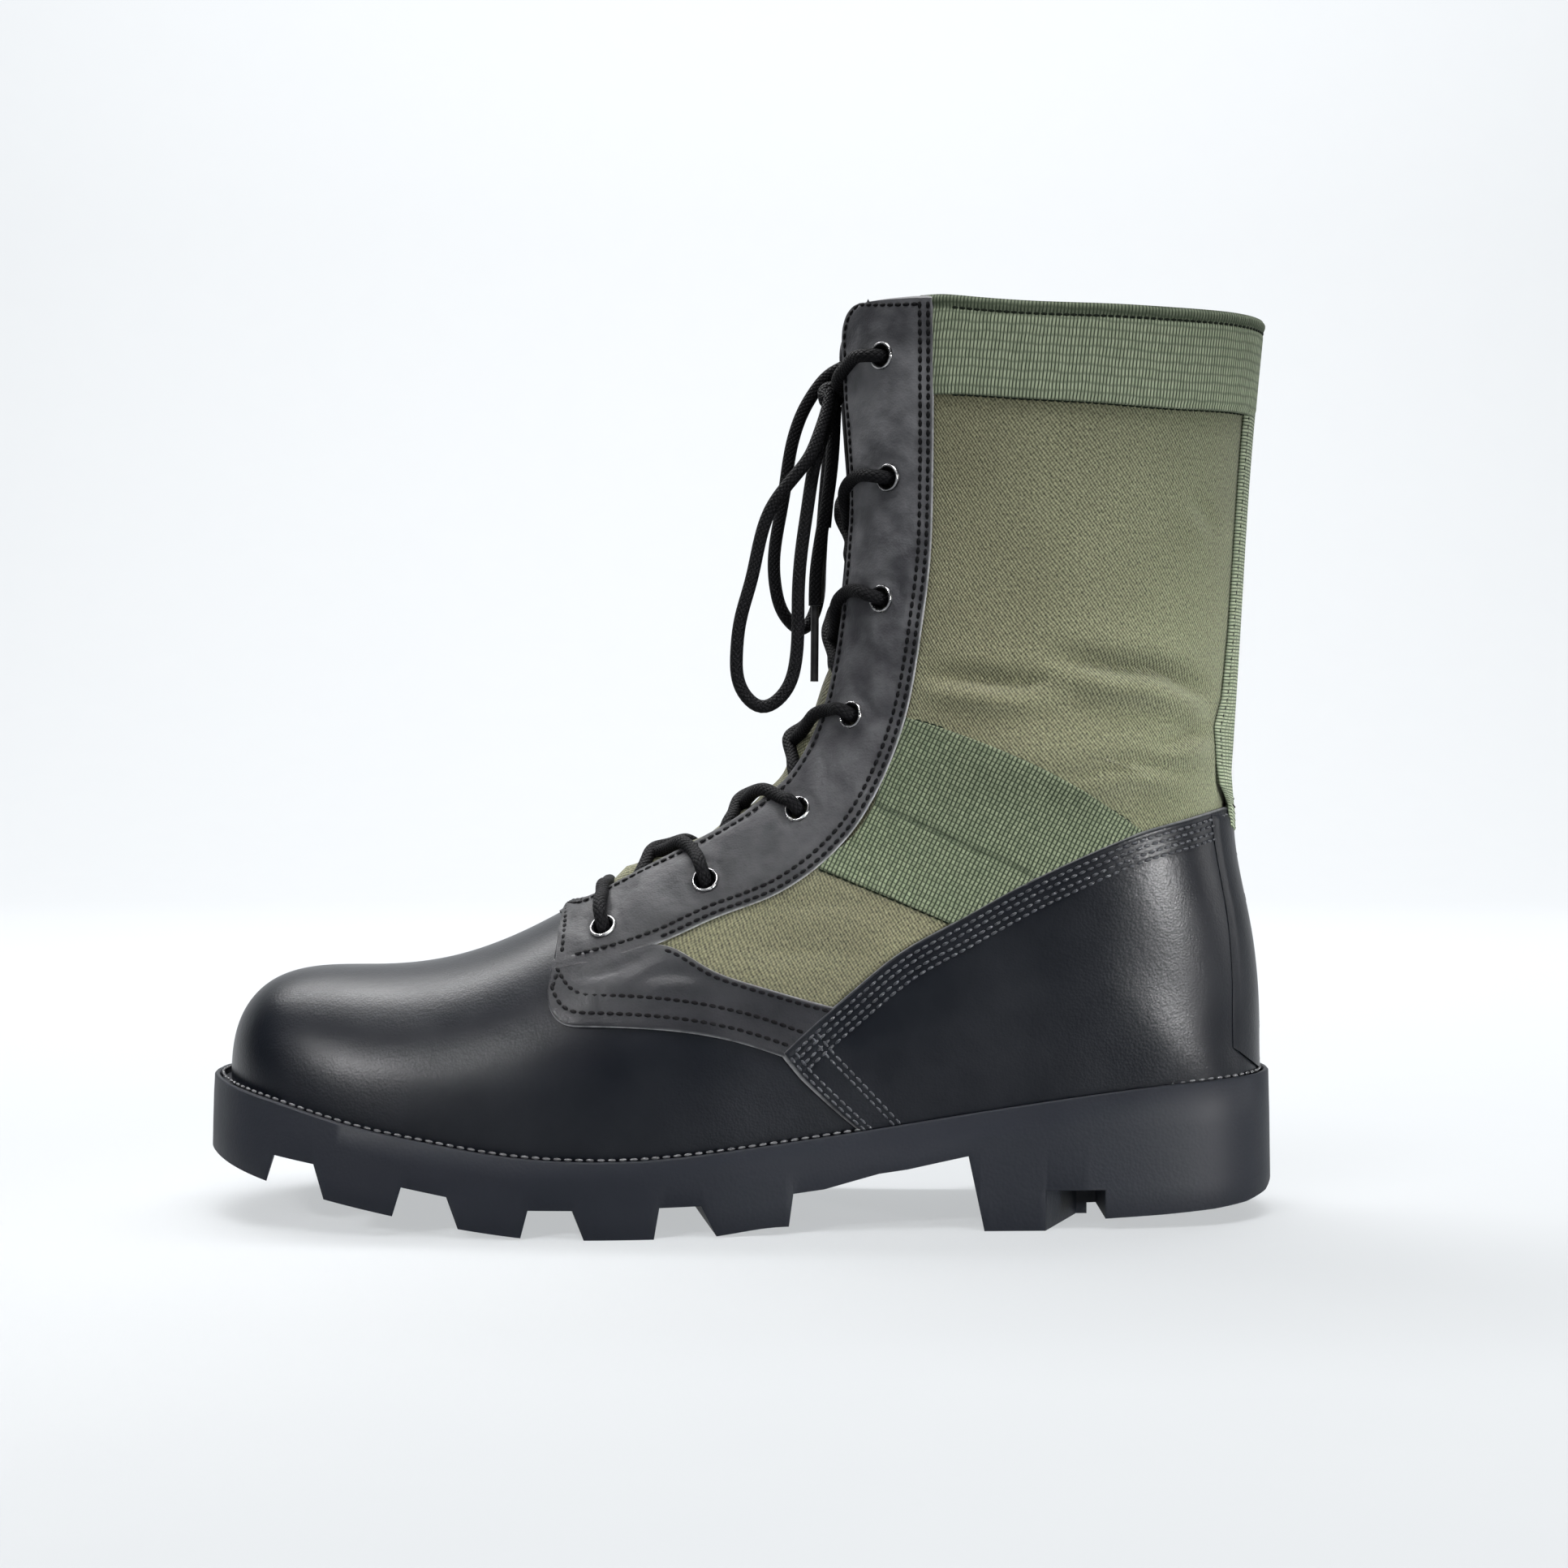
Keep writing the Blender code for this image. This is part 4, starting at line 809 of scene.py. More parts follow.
class EffectGroups:
    """Shader node groups shared by several finishes, each built once."""

    def __init__(self) -> None:
        self.made: dict[str, bpy.types.NodeTree] = {}

    def _start(
        self, name: str, inputs: dict[str, float | None], outputs: Sequence[str]
    ) -> tuple[Bench, object, object]:
        """New group with its sockets; an input of None is a vector."""
        tree = bpy.data.node_groups.new(name, "ShaderNodeTree")
        for key, value in inputs.items():
            kind = "NodeSocketVector" if value is None else "NodeSocketFloat"
            socket = tree.interface.new_socket(key, in_out="INPUT", socket_type=kind)
            if value is not None:
                socket.default_value = value
        for key in outputs:
            tree.interface.new_socket(key, in_out="OUTPUT", socket_type="NodeSocketFloat")
        self.made[name] = tree
        return Bench(tree), tree.nodes.new("NodeGroupInput"), tree.nodes.new("NodeGroupOutput")

    def weave(self) -> bpy.types.NodeTree:
        """Webbing: ribs crossed by finer rows, with dark gaps, from texture places in millimetres."""
        if "woven ribs" in self.made:
            return self.made["woven ribs"]
        inputs = {"Vector": None, "Rib Pitch": 1.0, "Row Pitch": 1.0, "Row Depth": 0.6, "Unevenness": 0.1}
        bench, start, end = self._start("woven ribs", inputs, ("Height", "Gap", "Tone"))
        place = start.outputs["Vector"]
        parts = bench.add("ShaderNodeSeparateXYZ", Vector=place)
        wander = bench.math("SUBTRACT", bench.noise(place, 0.16, 2.0), 0.5)
        drift = bench.math("MULTIPLY", wander, start.outputs["Unevenness"])
        across = bench.math("ADD", bench.math("DIVIDE", parts.outputs[0], start.outputs["Rib Pitch"]), drift)
        down = bench.math("ADD", bench.math("DIVIDE", parts.outputs[1], start.outputs["Row Pitch"]), drift)
        rib = bench.math("ABSOLUTE", bench.math("SINE", bench.math("MULTIPLY", across, math.pi)))
        row = bench.math("ABSOLUTE", bench.math("SINE", bench.math("MULTIPLY", down, math.pi)))
        row_gap = bench.math("MULTIPLY", bench.span(row, 0.15, 0.75, 1.0, 0.0), start.outputs["Row Depth"])
        gap = bench.math("MAXIMUM", bench.span(rib, 0.2, 0.88, 1.0, 0.0), row_gap)
        low = bench.math("SUBTRACT", 1.0, bench.math("MULTIPLY", row_gap, 0.6))
        bench.feed(end.inputs["Height"], bench.math("MULTIPLY", bench.math("POWER", rib, 0.6), low))
        bench.feed(end.inputs["Gap"], gap)
        cell = bench.add("ShaderNodeCombineXYZ")
        bench.feed(cell.inputs[0], bench.math("FLOOR", across))
        bench.feed(cell.inputs[1], bench.math("FLOOR", down))
        white = bench.add("ShaderNodeTexWhiteNoise", noise_dimensions="2D", Vector=cell.outputs[0])
        bench.feed(end.inputs["Tone"], white.outputs[0])
        return self.made["woven ribs"]

    def twill(self) -> bpy.types.NodeTree:
        """Fine diagonal twill from texture places in millimetres."""
        if "twill lines" in self.made:
            return self.made["twill lines"]
        bench, start, end = self._start("twill lines", {"Vector": None, "Pitch": 0.8}, ("Height", "Slub"))
        place = start.outputs["Vector"]
        parts = bench.add("ShaderNodeSeparateXYZ", Vector=place)
        wander = bench.math("MULTIPLY", bench.noise(place, 0.5, 2.0), 0.9)
        slope = bench.weighted(parts.outputs[0], 0.78, parts.outputs[1], 0.62)
        line = bench.math("ADD", bench.math("DIVIDE", slope, start.outputs["Pitch"]), wander)
        wave = bench.math("SINE", bench.math("MULTIPLY", line, 2.0 * math.pi))
        counter = bench.weighted(parts.outputs[0], 1.0, parts.outputs[1], -1.25)
        steps = bench.math("DIVIDE", counter, start.outputs["Pitch"])
        cross = bench.math("SINE", bench.math("MULTIPLY", steps, 4.4))
        both = bench.weighted(wave, 0.35, cross, 0.15)
        bench.feed(end.inputs["Height"], bench.math("ADD", both, 0.5))
        bench.feed(end.inputs["Slub"], bench.noise(place, 1.1, 3.0, 0.7))
        return self.made["twill lines"]

    def grain(self) -> bpy.types.NodeTree:
        """Leather or rubber grain and slow unevenness from object places in metres."""
        if "surface grain" in self.made:
            return self.made["surface grain"]
        outputs = ("Height", "Cloud", "Speck", "Pucker")
        bench, start, end = self._start("surface grain", {"Vector": None, "Scale": 900.0}, outputs)
        place = start.outputs["Vector"]
        cells = bench.add("ShaderNodeTexVoronoi", feature="F1", Vector=place)
        bench.feed(cells.inputs["Scale"], start.outputs["Scale"])
        fine = bench.add("ShaderNodeTexNoise", Vector=place, Detail=3.0)
        bench.feed(fine.inputs["Scale"], bench.math("MULTIPLY", start.outputs["Scale"], 0.45))
        bench.feed(end.inputs["Height"], bench.weighted(cells.outputs[0], 0.6, fine.outputs[0], 0.6))
        bench.feed(end.inputs["Cloud"], bench.noise(place, 26.0, 4.0, 0.6))
        bench.feed(end.inputs["Speck"], bench.noise(place, 420.0, 2.0, 0.5))
        bench.feed(end.inputs["Pucker"], bench.noise(place, 130.0, 2.0, 0.45))
        return self.made["surface grain"]


class Finish:
    """Shared start of every finish: a material with its shader and coordinates."""

    @staticmethod
    def begin(name: str) -> tuple[bpy.types.Material, Bench, bpy.types.Node, bpy.types.Node]:
        """New material.

        Args:
            name: Name of the material.

        Returns:
            The material, its bench, its Principled shader and its coordinates.
        """
        made = bpy.data.materials.new(name)
        made.use_nodes = True
        bench = Bench(made.node_tree)
        shader = made.node_tree.nodes["Principled BSDF"]
        return made, bench, shader, bench.add("ShaderNodeTexCoord")

    @staticmethod
    def group(bench: Bench, tree: bpy.types.NodeTree, **values: object) -> bpy.types.Node:
        """Node of a shared group with its inputs fed."""
        node = bench.tree.nodes.new("ShaderNodeGroup")
        node.node_tree = tree
        for key, value in values.items():
            bench.feed(node.inputs[key.replace("_", " ")], value)
        return node


@dataclass(frozen=True)
class LeatherFinish(Finish):
    """Smooth finished leather with a faint grain and a soft sheen."""

    name: str = "black_leather"
    dark: Colour = (0.002, 0.0027, 0.0044)
    light: Colour = (0.004, 0.0048, 0.0068)
    # Colour of the painted highlight along cut edges.
    cut: Colour = (0.16, 0.162, 0.168)
    gloss: float = 0.35
    grain: float = 0.05
    specular: float = 0.15
    pucker: float = 0.0
    # Colour of painted shade that darkens the leather towards the bottom.
    low: Colour | None = None

    def make(self, groups: EffectGroups) -> bpy.types.Material:
        """Build the material."""
        made, bench, shader, coords = self.begin(self.name)
        grain = self.group(bench, groups.grain(), Vector=coords.outputs["Object"], Scale=1500.0)
        waves = bench.span(grain.outputs["Pucker"], 0.3, 0.7, -0.12, 0.12)
        cloud = bench.math("ADD", grain.outputs["Cloud"], waves)
        tone = bench.mix(bench.span(cloud, 0.35, 0.7), rgba(self.dark), rgba(self.light))
        # Painted shade: with a low colour the leather darkens below 0.175 m of object height.
        if self.low:
            up = bench.add("ShaderNodeSeparateXYZ", Vector=coords.outputs["Object"]).outputs[2]
            tone = bench.mix(bench.span(up, 0.085, 0.175, 0.12, 1.0), rgba(self.low), tone)
        # Painted highlight: cut edges take the lighter cut colour, broken up by specks of wear.
        edge = bench.add("ShaderNodeAttribute", attribute_name="cut_edge").outputs["Fac"]
        worn = bench.math("MULTIPLY", edge, bench.span(grain.outputs["Speck"], 0.3, 0.6, 0.5, 1.0))
        bench.feed(shader.inputs["Base Color"], bench.mix(worn, tone, rgba(self.cut)))
        rough = bench.span(grain.outputs["Cloud"], 0.3, 0.75, self.gloss - 0.05, self.gloss + 0.08)
        bench.feed(shader.inputs["Roughness"], rough)
        shader.inputs["Specular IOR Level"].default_value = self.specular
        height = bench.weighted(grain.outputs["Height"], 1.0, grain.outputs["Speck"], 0.8)
        puckered = bench.bump(grain.outputs["Pucker"], self.pucker * MM) if self.pucker else None
        bench.feed(shader.inputs["Normal"], bench.bump(height, self.grain * MM, normal=puckered))
        return made


@dataclass(frozen=True)
class CanvasFinish(Finish):
    """Olive twill canvas with slubs and a little fading."""

    name: str = "olive_canvas"
    dark: Colour = (0.102, 0.099, 0.058)
    light: Colour = (0.136, 0.135, 0.081)
    dark_rear: Colour = (0.093, 0.099, 0.058)
    light_rear: Colour = (0.123, 0.132, 0.08)
    pitch: float = 0.9
    depth: float = 0.16

    def make(self, groups: EffectGroups) -> bpy.types.Material:
        """Build the material."""
        made, bench, shader, coords = self.begin(self.name)
        twill = self.group(bench, groups.twill(), Vector=coords.outputs["UV"], Pitch=self.pitch)
        fade = bench.noise(coords.outputs["Object"], 22.0, 4.0, 0.6)
        forward = bench.add("ShaderNodeSeparateXYZ", Vector=coords.outputs["Object"]).outputs[0]
        rear = bench.span(forward, 0.06, 0.125)
        browner = bench.mix(bench.span(fade, 0.3, 0.72), rgba(self.dark), rgba(self.light))
        greener = bench.mix(bench.span(fade, 0.3, 0.72), rgba(self.dark_rear), rgba(self.light_rear))
        tone = bench.mix(rear, browner, greener)
        slub = bench.math("MULTIPLY", twill.outputs["Slub"], 1.3)
        thread = bench.math("ADD", bench.math("MULTIPLY", twill.outputs["Height"], 0.5), slub)
        # Painted shade: the canvas darkens towards its front, down to 0.72 at object X of 0.03 m and less.
        painted_shade_front = bench.span(forward, 0.03, 0.055, 0.72, 1.0)
        shade = bench.math("MULTIPLY", bench.span(thread, 0.5, 1.3, 0.18, 1.72), painted_shade_front)
        grey = bench.add("ShaderNodeCombineColor", Red=shade, Green=shade, Blue=shade)
        bench.feed(shader.inputs["Base Color"], bench.mix(1.0, tone, grey.outputs[0], "MULTIPLY"))
        shader.inputs["Roughness"].default_value = 0.88
        shader.inputs["Specular IOR Level"].default_value = 0.25
        shader.inputs["Sheen Weight"].default_value = 0.12
        shader.inputs["Sheen Roughness"].default_value = 0.5
        height = bench.weighted(twill.outputs["Height"], 1.0, twill.outputs["Slub"], 0.6)
        bench.feed(shader.inputs["Normal"], bench.bump(height, self.depth * MM))
        return made


@dataclass(frozen=True)
class WebbingFinish(Finish):
    """Coarse woven webbing: light green ribs over dark gaps."""

    name: str = "green_webbing"
    gap: Colour = (0.008, 0.014, 0.007)
    warp: Colour = (0.168, 0.194, 0.124)
    weft: Colour = (0.088, 0.108, 0.066)
    rib_pitch: float = 1.15
    row_pitch: float = 1.3
    row_depth: float = 0.65
    depth: float = 0.3

    def make(self, groups: EffectGroups) -> bpy.types.Material:
        """Build the material."""
        made, bench, shader, coords = self.begin(self.name)
        weave = self.group(
            bench, groups.weave(), Vector=coords.outputs["UV"], Rib_Pitch=self.rib_pitch,
            Row_Pitch=self.row_pitch, Row_Depth=self.row_depth, Unevenness=0.6,
        )
        strength = bench.span(weave.outputs["Tone"], 0.0, 1.0, 0.25, 0.85)
        thread = bench.mix(strength, rgba(self.weft), rgba(self.warp))
        cloud = bench.noise(coords.outputs["Object"], 30.0, 3.0)
        worn = bench.mix(bench.span(cloud, 0.3, 0.75, 0.0, 0.35), thread, rgba(self.weft))
        woven = bench.mix(weave.outputs["Gap"], worn, rgba(self.gap))
        # Painted shade: the shaded mask darkens the threads towards the gap colour.
        shaded = bench.add("ShaderNodeAttribute", attribute_name="shaded").outputs["Fac"]
        painted_shade_share = bench.math("MULTIPLY", shaded, 0.62)
        bench.feed(shader.inputs["Base Color"], bench.mix(painted_shade_share, woven, rgba(self.gap)))
        shader.inputs["Roughness"].default_value = 0.85
        shader.inputs["Specular IOR Level"].default_value = 0.2
        bench.feed(shader.inputs["Normal"], bench.bump(weave.outputs["Height"], self.depth * MM))
        return made


@dataclass(frozen=True)
class RubberFinish(Finish):
    """Moulded black rubber with fine grit and a little dust."""

    name: str = "black_rubber"
    dark: Colour = (0.004, 0.0052, 0.0084)
    dusty: Colour = (0.0068, 0.0082, 0.012)
    gloss: float = 0.46

    def make(self, groups: EffectGroups) -> bpy.types.Material:
        """Build the material."""
        made, bench, shader, coords = self.begin(self.name)
        grain = self.group(bench, groups.grain(), Vector=coords.outputs["Object"], Scale=1100.0)
        dust = bench.span(grain.outputs["Cloud"], 0.4, 0.8)
        bench.feed(shader.inputs["Base Color"], bench.mix(dust, rgba(self.dark), rgba(self.dusty)))
        rough = bench.span(grain.outputs["Cloud"], 0.3, 0.8, self.gloss, self.gloss + 0.16)
        bench.feed(shader.inputs["Roughness"], rough)
        shader.inputs["Specular IOR Level"].default_value = 0.16
        height = bench.weighted(grain.outputs["Height"], 1.0, grain.outputs["Cloud"], 4.0)
        bench.feed(shader.inputs["Normal"], bench.bump(height, 0.05 * MM))
        return made


@dataclass(frozen=True)
class MetalFinish(Finish):
    """Enamelled or bare metal with small scratches."""

    name: str = "black_enamel"
    base: Colour = (0.02, 0.02, 0.022)
    worn: Colour = (0.06, 0.06, 0.062)
    metallic: float = 0.3
    gloss: float = 0.3

    def make(self, groups: EffectGroups) -> bpy.types.Material:
        """Build the material."""
        made, bench, shader, coords = self.begin(self.name)
        grain = self.group(bench, groups.grain(), Vector=coords.outputs["Object"], Scale=2400.0)
        wear = bench.span(grain.outputs["Speck"], 0.45, 0.7)
        bench.feed(shader.inputs["Base Color"], bench.mix(wear, rgba(self.base), rgba(self.worn)))
        shader.inputs["Metallic"].default_value = self.metallic
        rough = bench.span(grain.outputs["Speck"], 0.3, 0.75, self.gloss - 0.06, self.gloss + 0.12)
        bench.feed(shader.inputs["Roughness"], rough)
        bench.feed(shader.inputs["Normal"], bench.bump(grain.outputs["Height"], 0.02 * MM))
        return made


@dataclass(frozen=True)
class CordFinish(Finish):
    """Round braided lace: two sets of strands that cross."""

    name: str = "black_lace"
    dark: Colour = (0.0016, 0.0016, 0.002)
    light: Colour = (0.005, 0.005, 0.0058)
    lay: float = 1.5
    strands: float = 8.0

    def make(self, groups: EffectGroups) -> bpy.types.Material:
        """Build the material."""
        made, bench, shader, coords = self.begin(self.name)
        parts = bench.add("ShaderNodeSeparateXYZ", Vector=coords.outputs["UV"])
        run = bench.math("MULTIPLY", parts.outputs[0], math.pi / self.lay)
        turn = bench.math("MULTIPLY", parts.outputs[1], self.strands * math.pi)
        first = bench.math("SINE", bench.math("ADD", run, turn))
        second = bench.math("SINE", bench.math("SUBTRACT", run, turn))
        height = bench.math("POWER", bench.math("ABSOLUTE", bench.math("MULTIPLY", first, second)), 0.5)
        fuzz = bench.noise(coords.outputs["Object"], 1800.0, 3.0, 0.7)
        tone = bench.math("ADD", bench.math("MULTIPLY", height, 0.7), bench.math("MULTIPLY", fuzz, 0.35))
        dyed = bench.mix(bench.span(tone, 0.15, 0.95), rgba(self.dark), rgba(self.light))
        bench.feed(shader.inputs["Base Color"], dyed)
        shader.inputs["Roughness"].default_value = 0.62
        shader.inputs["Specular IOR Level"].default_value = 0.07
        relief = bench.math("ADD", height, bench.math("MULTIPLY", fuzz, 0.3))
        bench.feed(shader.inputs["Normal"], bench.bump(relief, 0.3 * MM))
        return made


@dataclass(frozen=True)
class PlainCloth(Finish):
    """Close plain cloth, thread or paper-like stage surface with a soft unevenness."""

    name: str = "lining_cloth"
    dark: Colour = (0.05, 0.052, 0.035)
    light: Colour = (0.085, 0.088, 0.06)
    scale: float = 700.0
    rough: float = 0.9
    depth: float = 0.08
    specular: float = 0.3

    def make(self, groups: EffectGroups) -> bpy.types.Material:
        """Build the material."""
        made, bench, shader, coords = self.begin(self.name)
        grain = self.group(bench, groups.grain(), Vector=coords.outputs["Object"], Scale=self.scale)
        dyed = bench.mix(grain.outputs["Cloud"], rgba(self.dark), rgba(self.light))
        bench.feed(shader.inputs["Base Color"], dyed)
        shader.inputs["Roughness"].default_value = self.rough
        shader.inputs["Specular IOR Level"].default_value = self.specular
        bench.feed(shader.inputs["Normal"], bench.bump(grain.outputs["Height"], self.depth * MM))
        return made


@dataclass
class Finishes:
    """All materials of the boot."""

    groups: EffectGroups = field(default_factory=EffectGroups)

    def __post_init__(self) -> None:
        groups = self.groups
        self.leather = LeatherFinish().make(groups)
        # Eyestay leather: the black leather painted far lighter, a lit copy that paints light on the
        # eyestays; its low colour paints shade on their lower part.
        self.trim = LeatherFinish(
            "trim_leather", dark=(0.034, 0.0343, 0.038), light=(0.098, 0.0986, 0.104), gloss=0.48,
            grain=0.1, specular=0.1, cut=(0.3, 0.302, 0.31), pucker=1.0, low=(0.017, 0.0172, 0.0185),
        ).make(groups)
        self.quarter = LeatherFinish(
            "quarter_leather", dark=(0.006, 0.0063, 0.008), light=(0.013, 0.0134, 0.0155), gloss=0.4,
            grain=0.08, specular=0.22, cut=(0.2, 0.202, 0.21), pucker=0.7,
        ).make(groups)
        self.canvas = CanvasFinish().make(groups)
        self.cuff_web = WebbingFinish(
            "cuff_webbing", gap=(0.018, 0.027, 0.015), warp=(0.27, 0.308, 0.214), weft=(0.17, 0.2, 0.134),
            rib_pitch=0.95, row_pitch=2.45, row_depth=0.5, depth=0.22,
        ).make(groups)
        self.ankle_web = WebbingFinish("ankle_webbing").make(groups)
        self.rubber = RubberFinish().make(groups)
        self.enamel = MetalFinish().make(groups)
        self.bare_metal = MetalFinish(
            "worn_metal", base=(0.2, 0.2, 0.205), worn=(0.5, 0.5, 0.5), metallic=1.0, gloss=0.22
        ).make(groups)
        self.lace = CordFinish().make(groups)
        self.tip = MetalFinish(
            "lace_tip_plastic", base=(0.012, 0.012, 0.013), worn=(0.02, 0.02, 0.02), metallic=0.0, gloss=0.35
        ).make(groups)
        self.thread = PlainCloth(
            "black_thread", dark=(0.0014, 0.0014, 0.0018), light=(0.004, 0.004, 0.0046), scale=3000.0,
            rough=0.7, specular=0.08,
        ).make(groups)
        # Counter thread painted lighter than the black thread: painted sheen of glints on the threads.
        self.sheen_painted_thread = PlainCloth(
            "black_thread_painted_sheen", dark=(0.009, 0.01, 0.013), light=(0.046, 0.049, 0.055), scale=3000.0,
            rough=0.35,
        ).make(groups)
        # Very dark green thread: real stitching that along the cuff's and bands' edges also stands in for
        # the shade line under the edge.
        self.green_thread_edge_shade = PlainCloth(
            "green_thread_edge_shade", dark=(0.004, 0.006, 0.004), light=(0.011, 0.015, 0.009), scale=3000.0,
            rough=0.8, specular=0.1,
        ).make(groups)
        self.welt_thread = PlainCloth(
            "welt_thread", dark=(0.05, 0.052, 0.055), light=(0.1, 0.1, 0.105), scale=3000.0, rough=0.7
        ).make(groups)
        self.lining = PlainCloth().make(groups)
        self.footbed = PlainCloth(
            "footbed_cloth", dark=(0.03, 0.03, 0.031), light=(0.055, 0.055, 0.056)
        ).make(groups)
        self.floor = PlainCloth(
            "pale_floor", dark=(0.127, 0.131, 0.136), light=(0.133, 0.137, 0.141), scale=60.0,
            rough=0.9, depth=0.0, specular=0.1,
        ).make(groups)
        shader = self.floor.node_tree.nodes["Principled BSDF"]
        shader.inputs["Emission Color"].default_value = (0.95, 0.98, 1.0, 1.0)
        shader.inputs["Emission Strength"].default_value = 0.52


class Threadwork:
    """Rows of single stitches, one joined piece for each group of rows."""

    def __init__(self, form: BootForm) -> None:
        self.form = form
        self.rows: list[tuple[np.ndarray, np.ndarray, np.ndarray]] = []

    def add_line(self, line: np.ndarray, side: float, offset: float, pitch: float) -> None:
        """Add a row of stitches along a line on the form.

        Args:
            line: Section and angle along the line.
            side: Sign of the side.
            offset: Offset of the threads' middle.
            pitch: Distance from stitch to stitch.
        """
        sides = np.full(len(line), side)
        places = self.form.point(line[:, 0], line[:, 1], sides, offset)
        normals = self.form.normal(line[:, 0], line[:, 1], sides)
        self.add_places(places, normals, pitch)

    def add_places(self, places: np.ndarray, normals: np.ndarray, pitch: float) -> None:
        """Add a row of stitches along points in millimetres with their normals."""
        run = run_length(places)
        count = max(2, int(run[-1] / pitch))
        at = (np.arange(count) + 0.5) * run[-1] / count
        fine = [np.interp(at, run, places[:, i]) for i in range(3)]
        ahead = [
            np.interp(at + 0.3, run, places[:, i]) - np.interp(at - 0.3, run, places[:, i]) for i in range(3)
        ]
        up = [np.interp(at, run, normals[:, i]) for i in range(3)]
        self.rows.append((np.column_stack(fine), np.column_stack(ahead), np.column_stack(up)))

    def build(self, name: str, length: float, width: float, height: float) -> bpy.types.Object:
        """Piece of all rows added so far, which are then forgotten.

        Args:
            name: Name of the piece.
            length: Length of one stitch.
            width: Width of its thread.
            height: Height of its thread.

        Returns:
            The joined piece.
        """
        deselect()
        bpy.ops.mesh.primitive_uv_sphere_add(segments=6, ring_count=4, radius=0.5)
        model = bpy.context.object
        shape = np.array([v.co for v in model.data.vertices])
        shape = np.column_stack((shape[:, 2] * length, shape[:, 0] * width, shape[:, 1] * height))
        faces = [list(p.vertices) for p in model.data.polygons]
        bpy.data.objects.remove(model, do_unlink=True)
        places, ahead, up = (np.vstack(part) for part in zip(*self.rows))
        self.rows = []
        ahead /= np.linalg.norm(ahead, axis=1, keepdims=True)
        across = np.cross(up, ahead)
        across /= np.linalg.norm(across, axis=1, keepdims=True)
        up = np.cross(ahead, across)
        turned = (
            shape[None, :, 0:1] * ahead[:, None] + shape[None, :, 1:2] * across[:, None]
            + shape[None, :, 2:3] * up[:, None]
        )
        corners = (places[:, None] + turned).reshape(-1, 3) * MM
        count = len(shape)
        every = [[i + k * count for i in face] for k in range(len(places)) for face in faces]
        mesh = bpy.data.meshes.new(name)
        mesh.from_pydata(corners.tolist(), [], every)
        piece = bpy.data.objects.new(name, mesh)
        bpy.context.scene.collection.objects.link(piece)
        smooth(piece, 80.0)
        return piece


